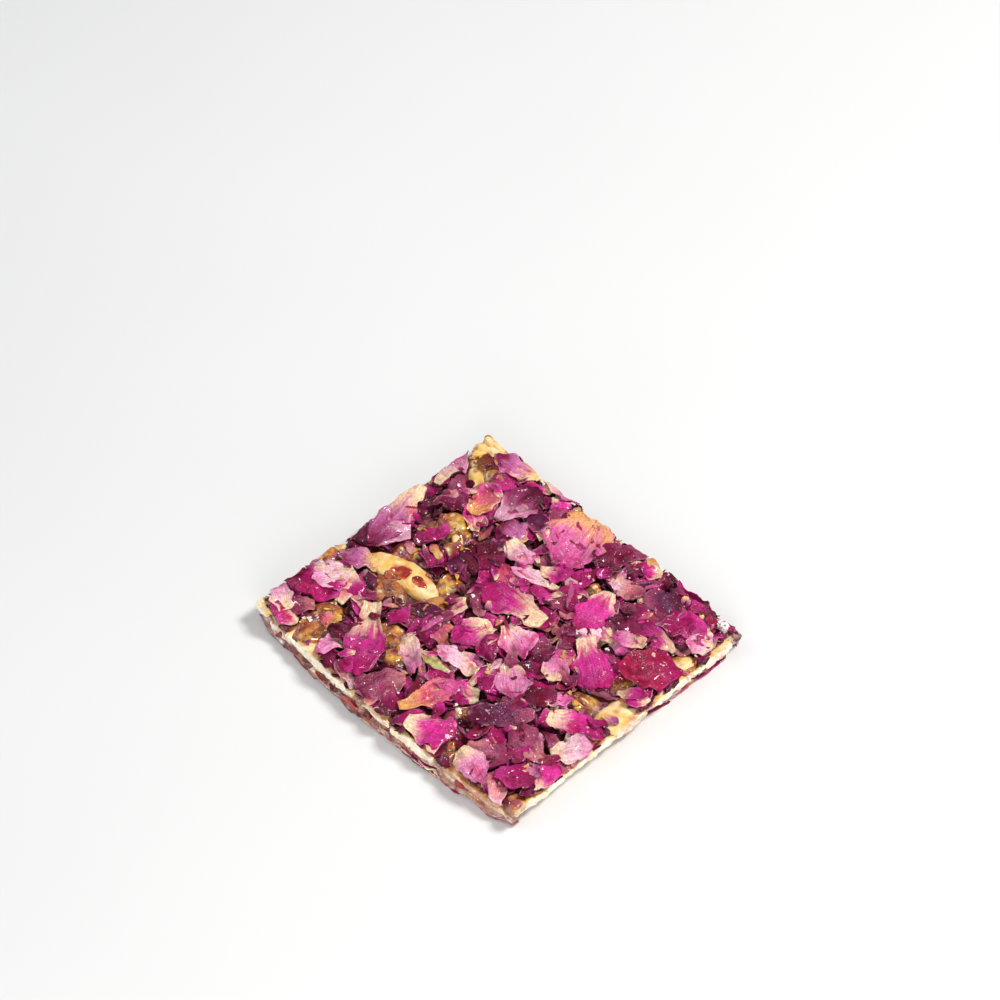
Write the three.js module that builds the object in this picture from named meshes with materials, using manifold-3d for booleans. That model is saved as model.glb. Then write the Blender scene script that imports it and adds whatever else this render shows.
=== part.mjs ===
// Rose brittle: a thin, knife-cut square of sugar-bound nuts covered with dried rose petals.
// X runs along the longer cut edge and Y along the shorter one, Z is up, and the origin lies
// under the middle of the square, on the surface it rests on. All lengths are millimetres.
import * as THREE from 'three';
import { mergeVertices } from 'three/addons/utils/BufferGeometryUtils.js';
import Module from 'manifold-3d';

const wasm = await Module();
wasm.setup();

// Driving dimensions of the cut square
const LENGTH = 77;
const WIDTH = 70;
const CORNER_PULL = 0.7;
const OVERHANG = 1;
const GAP = 0.3;

// The front cut bows out between its corners, and its lower part stands out like a foot. The bow
// is felt as far in from the cut as its depth
const BOW = 2.2;
const BOW_DEPTH = 5;
const FOOT_REACH = 1;
const FOOT_TOP = 3;

// The start of the random numbers
const SEED = 1859;

// The knife leaves the right side broken away underneath
const UNDERCUT_DEPTH = 2.8;
const UNDERCUT_TOP = 2.7;
const UNDERCUT_FROM = -30;
const UNDERCUT_TO = 12;

// The sugar-bound core between the flakes, from its top face down to the floor
const CUT_STEP = 6;
const CORE_TOP = 4.5;
const CORE_LEVELS = [CORE_TOP, 3.1, 1.6, 0];
const SIDE_RAGGED = 0.5;
const RAGGED_ROUND = 1.7;
const RAGGED_ALONG = 0.42;
const RAGGED_UP = 2.1;
const NEAR_CUT = 1;

// Flakes pressed into the top like shingles, and pressed layers that stick out of the cut sides
const FLAKE_COLUMNS = 11;
const FLAKE_ROWS = 10;
const FLAKE_RADIUS = [2.6, 4.6];
const FLAKE_SQUASH = [0.55, 0.95];
const FLAKE_SIDES = 6;
const FLAKE_UNEVEN = 0.25;
const FLAKE_REACH = [0.75, 1.15];
const FLAKE_PLACE = [0.15, 0.85];
const FLAKE_DEPTH = 1.4;
const FLAKE_PROUD = [0.1, 0.5];
const FLAKE_TILT = 0.1;
const LAYER_STEP = 9;
const LAYER_LENGTH = [3.2, 5.5];
const LAYER_SQUASH = [0.35, 0.5];
const LAYER_THICKNESS = 0.7;
const LAYER_SUNK = 1.2;
const LAYER_PROUD = 0.7;
const LAYER_TILT = 0.05;
const LAYER_PLACE = [0.25, 0.75];
const LAYER_LOWEST = 1;

// Nut kernels, as rings of points with blunt ends
const NUT_RINGS = 9;
const NUT_SIDES = 10;
const NUT_BLUNT = 0.75;

// A lump of sugar at the far corner: its middle, radius, height over the core's top and squash
const LUMP_AT = [34.6, 32.9];
const LUMP_RADIUS = 1.7;
const LUMP_PROUD = 0.5;
const LUMP_SQUASH = [1, 0.85, 0.8];

// Loose petals
const PETAL_THICKNESS = 0.35;
const PETAL_STEP = 2.5;
const STEPS_ALONG = [3, 7];
const STEPS_ACROSS = [2, 6];
const CLAW_SHARE = 0.34;
const WIDEST_AT = 0.62;
const TIP_REACH = 0.46;
const TIP_BOW = 0.14;
const RIM_LIFT = [0.03, 0.25];
const TIP_LIFT = [0.03, 0.3];
const WAVE = 0.07;
const WAVES_ACROSS = 5;
const WAVES_ALONG = 4;

// The height map that petals rest on, and how far round a point it is looked at
const HEIGHT_CELL = 0.4;
const REST_REACH = 0.8;

// A repeatable source of random numbers between 0 and 1
function makeRandom(seed) {
  let state = seed >>> 0;
  return () => {
    state = (state + 0x6d2b79f5) >>> 0;
    let mixed = Math.imul(state ^ (state >>> 15), 1 | state);
    mixed = (mixed + Math.imul(mixed ^ (mixed >>> 7), 61 | mixed)) ^ mixed;
    return ((mixed ^ (mixed >>> 14)) >>> 0) / 2 ** 32;
  };
}

const random = makeRandom(SEED);
const between = (low, high) => low + (high - low) * random();
const clamp = (value, low, high) => Math.min(high, Math.max(low, value));

// Solids from meshes, and meshes from solids
function meshGeometry(positions, triangles) {
  const geometry = new THREE.BufferGeometry();
  geometry.setAttribute('position', new THREE.Float32BufferAttribute(positions, 3));
  geometry.setIndex(triangles);
  return geometry;
}

function solidFrom(geometry) {
  const bare = geometry.clone();
  bare.deleteAttribute('normal');
  bare.deleteAttribute('uv');
  const merged = mergeVertices(bare, 1e-5);
  return new wasm.Manifold(new wasm.Mesh({
    numProp: 3,
    vertProperties: new Float32Array(merged.attributes.position.array),
    triVerts: new Uint32Array(merged.index.array),
  }));
}

function geometryFrom(solid) {
  const mesh = solid.getMesh();
  return meshGeometry(Array.from(mesh.vertProperties), Array.from(mesh.triVerts));
}

// Of a solid that cutting has left in several bodies, only the largest is kept
function largestBody(solid) {
  const bodies = solid.decompose();
  return bodies.reduce((best, body) => (body.volume() > best.volume() ? body : best));
}

// How far a side stands in from the nominal cut, at a place along it and a height
function sideInset(x, y, z) {
  const along = x + RAGGED_ROUND * y;
  let inset = SIDE_RAGGED * (1 + Math.sin(RAGGED_ALONG * along + RAGGED_UP * z)) / 2;
  if (x > LENGTH / 2 - NEAR_CUT && z < UNDERCUT_TOP) {
    const share = clamp((y - UNDERCUT_FROM) / (UNDERCUT_TO - UNDERCUT_FROM), 0, 1);
    inset += UNDERCUT_DEPTH * Math.sin(Math.PI * share) * (1 - z / UNDERCUT_TOP);
  }
  if (y < NEAR_CUT - WIDTH / 2) inset -= FOOT_REACH * clamp(2 - 2 * z / FOOT_TOP, 0, 1);
  return inset;
}

// The four cuts as a ring of points, run round anticlockwise, with the corners a little short
function cutOutline() {
  const corners = [[-1, -1], [1, -1], [1, 1], [-1, 1]];
  const outline = [];
  corners.forEach(([fromX, fromY], k) => {
    const [toX, toY] = corners[(k + 1) % corners.length];
    const steps = Math.round((fromX === toX ? WIDTH : LENGTH) / CUT_STEP);
    for (let step = 0; step < steps; step += 1) {
      const pull = step === 0 ? CORNER_PULL : 0;
      const x = (fromX + (toX - fromX) * step / steps) * (LENGTH / 2 - pull);
      const y = (fromY + (toY - fromY) * step / steps) * (WIDTH / 2 - pull);
      outline.push([x, y]);
    }
  });
  return outline;
}

// The core: ragged sides in levels between a flat top and a flat underside
function coreGeometry() {
  const outline = cutOutline();
  const count = outline.length;
  const positions = [];
  const triangles = [];
  CORE_LEVELS.forEach((z, level) => {
    for (const [x, y] of outline) {
      const inset = sideInset(x, y, z);
      const onX = Math.abs(x) > LENGTH / 2 - NEAR_CUT;
      const onY = Math.abs(y) > WIDTH / 2 - NEAR_CUT;
      positions.push(x - (onX ? Math.sign(x) * inset : 0), y - (onY ? Math.sign(y) * inset : 0), z);
    }
    if (level === 0) return;
    for (let k = 0; k < count; k += 1) {
      const next = (k + 1) % count;
      const above = (level - 1) * count;
      const below = level * count;
      triangles.push(below + k, below + next, above + next, below + k, above + next, above + k);
    }
  });
  const floor = (CORE_LEVELS.length - 1) * count;
  const ringAt = (first) => outline.map((_, k) => new THREE.Vector2(...positions.slice(3 * (first + k))));
  for (const [a, b, c] of THREE.ShapeUtils.triangulateShape(ringAt(0), [])) triangles.push(a, b, c);
  for (const [a, b, c] of THREE.ShapeUtils.triangulateShape(ringAt(floor), [])) {
    triangles.push(floor + a, floor + c, floor + b);
  }
  return meshGeometry(positions, triangles);
}

// A flat, uneven flake with straight sides, as a solid that reaches down from its top face
function flakeGeometry(radius, squash, depth) {
  const outline = new THREE.Shape();
  for (let k = 0; k < FLAKE_SIDES; k += 1) {
    const angle = (k + between(-FLAKE_UNEVEN, FLAKE_UNEVEN)) * 2 * Math.PI / FLAKE_SIDES;
    const reach = radius * between(...FLAKE_REACH);
    const point = [Math.cos(angle) * reach, Math.sin(angle) * reach * squash];
    if (k === 0) outline.moveTo(...point);
    else outline.lineTo(...point);
  }
  const geometry = new THREE.ExtrudeGeometry(outline, { depth, bevelEnabled: false });
  geometry.translate(0, 0, -depth);
  return geometry;
}

// Flakes pressed into the top on a loose grid, each tilted and turned a little
function topFlakes() {
  const flakes = [];
  const margin = FLAKE_RADIUS[0];
  for (let row = 0; row < FLAKE_ROWS; row += 1) {
    for (let column = 0; column < FLAKE_COLUMNS; column += 1) {
      const x = ((column + between(...FLAKE_PLACE)) / FLAKE_COLUMNS - 0.5) * (LENGTH - margin);
      const y = ((row + between(...FLAKE_PLACE)) / FLAKE_ROWS - 0.5) * (WIDTH - margin);
      const flake = flakeGeometry(between(...FLAKE_RADIUS), between(...FLAKE_SQUASH), FLAKE_DEPTH);
      flake.rotateZ(between(0, Math.PI));
      flake.rotateX(between(-FLAKE_TILT, FLAKE_TILT));
      flake.rotateY(between(-FLAKE_TILT, FLAKE_TILT));
      flake.translate(x, y, CORE_TOP + between(...FLAKE_PROUD));
      flakes.push(solidFrom(flake));
    }
  }
  return flakes;
}

// Pressed layers that stick out of the four cut sides, one behind the other
function sideLayers() {
  const layers = [];
  const outline = cutOutline();
  const perimeter = 2 * (LENGTH + WIDTH);
  const count = Math.round(perimeter / LAYER_STEP);
  for (let k = 0; k < count; k += 1) {
    const place = (k + between(...LAYER_PLACE)) / count * outline.length;
    const from = outline[Math.floor(place) % outline.length];
    const to = outline[(Math.floor(place) + 1) % outline.length];
    const share = place - Math.floor(place);
    const heading = Math.atan2(to[1] - from[1], to[0] - from[0]);
    const layer = flakeGeometry(between(...LAYER_LENGTH), between(...LAYER_SQUASH), LAYER_THICKNESS);
    layer.rotateZ(heading);
    layer.rotateX(between(-LAYER_TILT, LAYER_TILT));
    const x = from[0] + share * (to[0] - from[0]) - Math.sin(heading) * LAYER_SUNK;
    const y = from[1] + share * (to[1] - from[1]) + Math.cos(heading) * LAYER_SUNK;
    const onUndercut = x > LENGTH / 2 - UNDERCUT_DEPTH && y > UNDERCUT_FROM && y < UNDERCUT_TO;
    const lowest = onUndercut ? UNDERCUT_TOP : LAYER_LOWEST;
    layer.translate(x, y, between(lowest, CORE_TOP));
    layers.push(solidFrom(layer));
  }
  return layers;
}

// A nut kernel: oval sections carried along a bent centre line, closed by a point at both ends
function nutGeometry({ at, sunk, turn, length, width, height, bend }, grow) {
  const positions = [];
  const triangles = [];
  const place = (along, across, up) => {
    const sway = bend * (1 - 4 * (along / length) ** 2);
    const x = along * Math.cos(turn) - (across + sway) * Math.sin(turn);
    const y = along * Math.sin(turn) + (across + sway) * Math.cos(turn);
    positions.push(at[0] + x, at[1] + y, CORE_TOP - sunk + up);
  };
  const half = length / 2 + grow;
  place(-half, 0, 0);
  for (let r = 1; r < NUT_RINGS; r += 1) {
    const phase = Math.PI * r / NUT_RINGS;
    const swell = Math.sin(phase) ** NUT_BLUNT;
    for (let s = 0; s < NUT_SIDES; s += 1) {
      const angle = 2 * Math.PI * s / NUT_SIDES;
      const across = Math.cos(angle) * (width / 2 + grow) * swell;
      const up = Math.sin(angle) * (height / 2 + grow) * swell;
      place(-half * Math.cos(phase), across, up);
    }
  }
  place(half, 0, 0);
  const last = positions.length / 3 - 1;
  for (let s = 0; s < NUT_SIDES; s += 1) {
    const next = (s + 1) % NUT_SIDES;
    triangles.push(0, 1 + next, 1 + s);
    for (let r = 0; r < NUT_RINGS - 2; r += 1) {
      const a = 1 + r * NUT_SIDES;
      const b = a + NUT_SIDES;
      triangles.push(a + s, b + next, b + s, a + s, a + next, b + next);
    }
    triangles.push(last, last - NUT_SIDES + s, last - NUT_SIDES + next);
  }
  return meshGeometry(positions, triangles);
}

// What lies inside the knife cuts, or a little outside them, with height to spare
function insideCuts(beyond) {
  return solidFrom(new THREE.BoxGeometry(LENGTH + 2 * beyond, WIDTH + 2 * beyond, 4 * CORE_TOP));
}

// The nuts that show: name, middle of the centre line, depth under the core's top, heading in
// radians, length, width, height and bend
const NUTS = [
  ['cashew_half_top', [-22.5, -7.8], 0.6, 0.08, 20, 6.5, 4, 1.8],
  ['cashew_cut_right', [35, 0], 1.1, 1.55, 13, 9, 3.6, -1],
  ['nut_yellow_right', [35.2, 19.4], 0.6, 1.3, 6.5, 4.8, 3.2, 0],
  ['nut_toffee_corner', [-34.2, 32.2], 0.9, 0.15, 9.5, 6, 3.6, 0.4],
  ['nut_toffee_left', [-31.5, 24.6], 0.8, -0.7, 8, 5, 3, 0.4],
  ['cashew_cut_front', [-18, -34.3], 1.3, 0, 22, 6, 3.2, -0.4],
  ['cashew_end_front', [10.5, -34.4], 1.5, 0.02, 12, 5, 3.2, -0.3],
  ['nut_toffee_front', [27, -34.2], 1.2, -0.02, 15, 5, 2.4, 0.2],
  ['cashew_nub_corner', [-36.4, -33.6], 0.9, 0.5, 6.4, 5, 3.8, 0.3],
  ['cashew_slice_right', [38, -20], 1.0, 1.57, 21, 5, 1.9, 0.3],
  ['cashew_slice_back', [38, 27.6], 1.2, 1.58, 8.4, 5.2, 2, 0.2],
  ['almond_cut_back', [8, 34.3], 1.6, 0.05, 17, 6, 3, 0.4],
  ['cashew_cut_back', [-19, 34.5], 1.7, 0, 13, 5, 2.8, 0.2],
  ['cashew_cut_left', [-38.1, 3], 1.6, 1.57, 16, 6, 3, -0.4],
  ['almond_cut_left', [-38, -17], 1.3, 1.6, 11, 5, 2.6, 0.2],
].map(([name, at, sunk, turn, length, width, height, bend]) => (
  { name, at, sunk, turn, length, width, height, bend }
));

// The petals that show best, lowest first: the narrow base, the tip, and the width between. Under
// them lie a dry stalk and a green leaf scale from below a rose
const PETALS = [
  { name: 'stalk_dry', base: [6.6, 25], tip: [12.2, 29.8], width: 1.6, tint: 'stalk' },
  { name: 'sepal_green', base: [4.2, -19.6], tip: [-3.4, -20.6], width: 3.2, tint: 'sepal' },
  { name: 'petal_coral', base: [-24, 15.5], tip: [-27, 25.5], width: 7.5, tint: 'coral' },
  { name: 'petal_plum_left', base: [-19, 18.5], tip: [-19, 31.5], width: 9, tint: 'plum' },
  { name: 'petal_violet_corner', base: [-21, 33.5], tip: [-33, 31], width: 6.5, tint: 'lilac' },
  { name: 'petal_pink_edge', base: [-20, 34.5], tip: [-9.5, 34.5], width: 6, tint: 'pink' },
  { name: 'petal_lilac_edge', base: [-36, 16.5], tip: [-39.5, 28], width: 6, tint: 'lilac' },
  { name: 'petal_left_long', base: [-37.5, 13], tip: [-33, -7.5], width: 9, tint: 'plum' },
  { name: 'petal_great_pink', base: [-5, 35.5], tip: [-0.5, 18.5], width: 17, tint: 'pink' },
  { name: 'petal_plum_top', base: [9.5, 36], tip: [4, 24.5], width: 9, tint: 'plum' },
  { name: 'petal_pale_middle', base: [-13, 15.5], tip: [-5, 14], width: 6, tint: 'pale' },
  { name: 'petal_orange_red', base: [-0.5, 4.5], tip: [-8.5, 9.5], width: 6.5, tint: 'coral' },
  { name: 'petal_magenta_long', base: [8.5, 4.5], tip: [-10, 3], width: 8.5, tint: 'magenta' },
  { name: 'petal_pale_folded', base: [4, 13.5], tip: [-7, 10], width: 5, tint: 'pale' },
  { name: 'petal_salmon', base: [10, 23.5], tip: [18, 25.5], width: 6, tint: 'coral' },
  { name: 'petal_edge_right', base: [20, 34.5], tip: [30, 34], width: 6, tint: 'magenta' },
  { name: 'petal_purple_top', base: [19, 24.5], tip: [25, 31], width: 8, tint: 'plum' },
  { name: 'petal_plum_large', base: [26.5, 22.5], tip: [17, 15.5], width: 10, tint: 'plum' },
  { name: 'petal_crumpled_right', base: [33.5, 29], tip: [25.5, 22], width: 8, tint: 'magenta' },
  { name: 'petal_lilac_corner', base: [38, 26], tip: [33, 22.5], width: 5.5, tint: 'lilac' },
  { name: 'petal_crimson', base: [38, 16.5], tip: [27, 8.5], width: 11, tint: 'magenta' },
  { name: 'petal_bright_strip', base: [32.5, 20], tip: [24, 19.5], width: 3.6, tint: 'magenta' },
  { name: 'petal_centre_right', base: [12.5, 21], tip: [15, 8], width: 8, tint: 'magenta' },
  { name: 'petal_cream_tip', base: [27, 17], tip: [20, 12], width: 4.5, tint: 'pink' },
  { name: 'petal_domed', base: [17.5, 8], tip: [28.5, 0.5], width: 8.5, tint: 'magenta' },
  { name: 'petal_lilac_right', base: [21, -5], tip: [16, 1.5], width: 6.5, tint: 'lilac' },
  { name: 'petal_centre_down', base: [0.8, -3.5], tip: [-1, -13.5], width: 9, tint: 'magenta' },
  { name: 'petal_round_centre', base: [3, -1.5], tip: [12, -5], width: 9, tint: 'pink' },
  { name: 'petal_triangle', base: [10.5, -8], tip: [18.5, -15], width: 8, tint: 'pink' },
  { name: 'petal_salmon_low', base: [8, -15], tip: [-3, -17], width: 5, tint: 'pale' },
  { name: 'petal_slate_fold', base: [24.5, -14.5], tip: [14, -25], width: 7, tint: 'plum' },
  { name: 'petal_orange_base', base: [26.5, -13], tip: [38, -8], width: 7, tint: 'magenta' },
  { name: 'petal_mauve', base: [33.5, -22], tip: [23, -20], width: 7, tint: 'plum' },
  { name: 'petal_corner_right', base: [39.5, -28.5], tip: [35.5, -19.5], width: 6.5, tint: 'magenta' },
  { name: 'petal_white_pink', base: [33.5, -19], tip: [39, -11.5], width: 7.5, tint: 'pale' },
  { name: 'petal_coral_low', base: [3, -32.5], tip: [8.5, -20.5], width: 7.5, tint: 'coral' },
  { name: 'petal_pink_low', base: [19.5, -31.5], tip: [29.5, -34.5], width: 6.5, tint: 'pink' },
  { name: 'petal_square', base: [-15.5, -12.5], tip: [-14.5, -19], width: 5.5, tint: 'magenta' },
  { name: 'petal_long_folded', base: [-20.5, -17.5], tip: [-8, -33], width: 9, tint: 'magenta' },
  { name: 'petal_low_left', base: [-27.5, -21], tip: [-39, -27], width: 7.5, tint: 'magenta' },
  { name: 'petal_pale_left', base: [-30, -14.5], tip: [-34.5, -23.5], width: 7, tint: 'pale' },
  { name: 'petal_curled_corner', base: [-32, -33], tip: [-39, -29], width: 6, tint: 'lilac' },
];

// A height map of everything laid so far, for the petals to rest on
const mapColumns = Math.ceil((LENGTH + 4 * OVERHANG) / HEIGHT_CELL);
const mapRows = Math.ceil((WIDTH + 4 * OVERHANG) / HEIGHT_CELL);
const mapHeights = new Float32Array(mapColumns * mapRows).fill(-1);
const columnOf = (x) => (x + LENGTH / 2 + 2 * OVERHANG) / HEIGHT_CELL;
const rowOf = (y) => (y + WIDTH / 2 + 2 * OVERHANG) / HEIGHT_CELL;

// Walks the map cells under each triangle and hands over the cell and the triangle's height there
function overTriangles(geometry, visit) {
  const point = geometry.attributes.position;
  const index = geometry.index.array;
  for (let t = 0; t < index.length; t += 3) {
    const [a, b, c] = [0, 1, 2].map((k) => {
      const v = index[t + k];
      return { x: columnOf(point.getX(v)), y: rowOf(point.getY(v)), z: point.getZ(v) };
    });
    const area = (b.x - a.x) * (c.y - a.y) - (c.x - a.x) * (b.y - a.y);
    if (Math.abs(area) < 1e-9) continue;
    const left = Math.max(0, Math.ceil(Math.min(a.x, b.x, c.x)));
    const right = Math.min(mapColumns - 1, Math.floor(Math.max(a.x, b.x, c.x)));
    const front = Math.max(0, Math.ceil(Math.min(a.y, b.y, c.y)));
    const back = Math.min(mapRows - 1, Math.floor(Math.max(a.y, b.y, c.y)));
    for (let row = front; row <= back; row += 1) {
      for (let column = left; column <= right; column += 1) {
        const towardC = ((b.x - a.x) * (row - a.y) - (column - a.x) * (b.y - a.y)) / area;
        const towardB = ((column - a.x) * (c.y - a.y) - (c.x - a.x) * (row - a.y)) / area;
        if (towardB < 0 || towardC < 0 || towardB + towardC > 1) continue;
        visit(row * mapColumns + column, a.z + towardB * (b.z - a.z) + towardC * (c.z - a.z));
      }
    }
  }
}

function addToMap(geometry) {
  overTriangles(geometry, (cell, z) => {
    mapHeights[cell] = Math.max(mapHeights[cell], z);
  });
}

// The highest thing within a small circle
function heightAround(x, y, radius) {
  let highest = CORE_TOP - GAP;
  const reach = Math.ceil(radius / HEIGHT_CELL);
  const column = Math.round(columnOf(x));
  const row = Math.round(rowOf(y));
  for (let dr = -reach; dr <= reach; dr += 1) {
    for (let dc = -reach; dc <= reach; dc += 1) {
      if (dr * dr + dc * dc > reach * reach) continue;
      const r = row + dr;
      const c = column + dc;
      if (r < 0 || c < 0 || r >= mapRows || c >= mapColumns) continue;
      highest = Math.max(highest, mapHeights[r * mapColumns + c]);
    }
  }
  return highest;
}

// Half the width of a petal along its length: a narrow claw, widest past the middle, a blunt tip
function petalHalfWidth(u) {
  if (u < WIDEST_AT) return CLAW_SHARE + (1 - CLAW_SHARE) * Math.sin(Math.PI / 2 * u / WIDEST_AT);
  return Math.sqrt(1 - ((u - WIDEST_AT) / TIP_REACH) ** 2);
}

// A petal as a thin wavy solid that follows what it lies on, cupped at its rims and tip
function petalGeometry({ base, tip, width }) {
  const length = Math.hypot(tip[0] - base[0], tip[1] - base[1]);
  const heading = [(tip[0] - base[0]) / length, (tip[1] - base[1]) / length];
  const stepsU = clamp(Math.round(length / PETAL_STEP), ...STEPS_ALONG);
  const stepsV = clamp(Math.round(width / PETAL_STEP), ...STEPS_ACROSS);
  const rimLift = between(...RIM_LIFT);
  const tipLift = between(...TIP_LIFT);
  const phase = between(0, 2 * Math.PI);
  const lower = [];
  for (let i = 0; i <= stepsU; i += 1) {
    for (let j = 0; j <= stepsV; j += 1) {
      const u = i / stepsU;
      const v = 2 * j / stepsV - 1;
      const along = length * (u - TIP_BOW * v * v * u ** 3);
      const across = width / 2 * v * petalHalfWidth(u);
      const x = base[0] + heading[0] * along - heading[1] * across;
      const y = base[1] + heading[1] * along + heading[0] * across;
      const keptX = clamp(x, -LENGTH / 2 - OVERHANG, LENGTH / 2 + OVERHANG);
      const keptY = clamp(y, -WIDTH / 2 - OVERHANG, WIDTH / 2 + OVERHANG);
      const wave = WAVE * (1 + Math.sin(WAVES_ACROSS * v + WAVES_ALONG * u + phase));
      const lift = rimLift * v * v + tipLift * u ** 3 + wave;
      lower.push([keptX, keptY, heightAround(keptX, keptY, REST_REACH) + GAP + lift]);
    }
  }
  const positions = [];
  for (const [x, y, z] of lower) positions.push(x, y, z + PETAL_THICKNESS);
  for (const [x, y, z] of lower) positions.push(x, y, z);
  const triangles = [];
  const count = lower.length;
  const at = (i, j) => i * (stepsV + 1) + j;
  for (let i = 0; i < stepsU; i += 1) {
    for (let j = 0; j < stepsV; j += 1) {
      const [a, b, c, d] = [at(i, j), at(i + 1, j), at(i + 1, j + 1), at(i, j + 1)];
      triangles.push(a, b, c, a, c, d);
      triangles.push(count + a, count + c, count + b, count + a, count + d, count + c);
    }
  }
  const rim = [];
  for (let i = 0; i < stepsU; i += 1) rim.push(at(i, 0));
  for (let j = 0; j < stepsV; j += 1) rim.push(at(stepsU, j));
  for (let i = stepsU; i > 0; i -= 1) rim.push(at(i, stepsV));
  for (let j = stepsV; j > 0; j -= 1) rim.push(at(0, j));
  rim.forEach((a, k) => {
    const b = rim[(k + 1) % rim.length];
    triangles.push(count + a, count + b, b, count + a, b, a);
  });
  return meshGeometry(positions, triangles);
}

// Lays a petal: lifts it clear of everything below, then adds it to the map
function layPetal(petal) {
  const geometry = petalGeometry(petal);
  let short = 0;
  overTriangles(geometry, (cell, z) => {
    short = Math.max(short, mapHeights[cell] + GAP - z);
  });
  geometry.translate(0, 0, short);
  addToMap(geometry);
  return geometry;
}

// A small rough lump of sugar, set into a pocket of its own
function lumpGeometry(grow) {
  const lump = new THREE.IcosahedronGeometry(LUMP_RADIUS + grow, 1);
  lump.scale(...LUMP_SQUASH);
  lump.translate(...LUMP_AT, CORE_TOP + LUMP_PROUD);
  return lump;
}

function finish(color, roughness) {
  return new THREE.MeshStandardMaterial({ color, roughness, metalness: 0 });
}

const FINISHES = {
  core: finish(0x6b2038, 0.4),
  kernel: finish(0xe8d6a8, 0.55),
  toffee: finish(0xb8823c, 0.35),
  sugar: finish(0xf2f0ea, 0.5),
  coral: finish(0xc9553f, 0.6),
  plum: finish(0x4a1233, 0.6),
  lilac: finish(0xb65aa0, 0.6),
  pink: finish(0xcc4a94, 0.6),
  pale: finish(0xdc9cb4, 0.6),
  magenta: finish(0xa31463, 0.55),
  sepal: finish(0x9fa45c, 0.7),
  stalk: finish(0x8a8768, 0.8),
};

const brittle = new THREE.Group();

// Moves what lies near the front cut out with its bow
function bowOut(geometry) {
  const point = geometry.attributes.position;
  for (let k = 0; k < point.count; k += 1) {
    const share = clamp(1 - (point.getY(k) + WIDTH / 2) / BOW_DEPTH, 0, 1);
    const reach = BOW * Math.cos(Math.PI * clamp(point.getX(k) / LENGTH, -0.5, 0.5));
    point.setY(k, point.getY(k) - reach * share);
  }
}

function addPiece(name, geometry, material) {
  bowOut(geometry);
  const mesh = new THREE.Mesh(geometry, material);
  mesh.name = name;
  geometry.computeVertexNormals();
  brittle.add(mesh);
  return mesh;
}

// The core with its flakes and layers, and a pocket for each nut that shows and for the sugar lump
function brittleCore() {
  const pressed = wasm.Manifold.union([...topFlakes(), ...sideLayers()]);
  const fused = solidFrom(coreGeometry()).add(pressed.intersect(insideCuts(LAYER_PROUD)));
  const pockets = NUTS.map((nut) => solidFrom(nutGeometry(nut, GAP)));
  pockets.push(solidFrom(lumpGeometry(GAP)));
  return largestBody(fused.subtract(wasm.Manifold.union(pockets)));
}

const core = geometryFrom(brittleCore());
addToMap(core);
addPiece('brittle_core', core, FINISHES.core);

const cuts = insideCuts(0);
for (const nut of NUTS) {
  const kernel = largestBody(solidFrom(nutGeometry(nut, 0)).intersect(cuts));
  const geometry = geometryFrom(kernel);
  addToMap(geometry);
  addPiece(nut.name, geometry, nut.name.includes('toffee') ? FINISHES.toffee : FINISHES.kernel);
}

const lump = geometryFrom(solidFrom(lumpGeometry(0)));
addToMap(lump);
addPiece('sugar_lump', lump, FINISHES.sugar);

for (const petal of PETALS) {
  addPiece(petal.name, layPetal(petal), FINISHES[petal.tint]);
}

// The origin ends under the middle of the whole outline, bow and overhanging petals included
const outline = new THREE.Box3().setFromObject(brittle);
const middleY = (outline.min.y + outline.max.y) / 2;
for (const piece of brittle.children) piece.geometry.translate(0, -middleY, 0);

export default brittle;
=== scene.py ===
import math

import bpy
import numpy as np
from bpy.props import FloatProperty, FloatVectorProperty, IntProperty, PointerProperty
from bpy.types import Operator, Panel, PropertyGroup
from mathutils import Matrix, Vector


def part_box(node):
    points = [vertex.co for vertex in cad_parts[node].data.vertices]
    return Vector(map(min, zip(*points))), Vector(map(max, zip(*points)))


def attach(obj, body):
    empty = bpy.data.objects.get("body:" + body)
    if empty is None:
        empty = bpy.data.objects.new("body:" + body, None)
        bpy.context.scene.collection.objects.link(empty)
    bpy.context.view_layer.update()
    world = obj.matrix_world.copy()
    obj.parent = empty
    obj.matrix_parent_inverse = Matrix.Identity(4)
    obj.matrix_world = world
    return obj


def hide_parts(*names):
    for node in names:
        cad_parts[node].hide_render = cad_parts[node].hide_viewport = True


bl_info = {
    "name": "Rose Brittle Square",
    "version": (1, 0, 0),
    "blender": (4, 5, 0),
    "location": "View3D > Sidebar > Brittle",
    "description": "A cut square of rose petal and nut brittle, built around its packed frame",
    "category": "Add Mesh",
}

# The frame, and the places that the pieces take from it. Shapes are worked out in millimetres
# from the middle between the cuts. The frame's origin lies a little off it in y, under the middle
# of the whole with its bowed front side
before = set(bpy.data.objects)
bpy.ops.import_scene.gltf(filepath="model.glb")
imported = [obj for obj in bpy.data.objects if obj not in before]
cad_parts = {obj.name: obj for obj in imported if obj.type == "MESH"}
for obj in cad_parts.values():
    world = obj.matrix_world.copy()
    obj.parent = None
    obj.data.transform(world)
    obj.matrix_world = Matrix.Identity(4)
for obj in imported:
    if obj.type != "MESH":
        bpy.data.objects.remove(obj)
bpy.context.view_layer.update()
MM = 0.001
CUT_Y = 35.0
CUTS_SHIFT = np.array([0.0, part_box("almond_cut_back")[1][1] / MM - CUT_Y, 0.0])


def node_box(name):
    """Lowest and highest corner of a CAD node, in millimetres from the middle between the cuts."""
    return np.array(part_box(name)) / MM - CUTS_SHIFT


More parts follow.
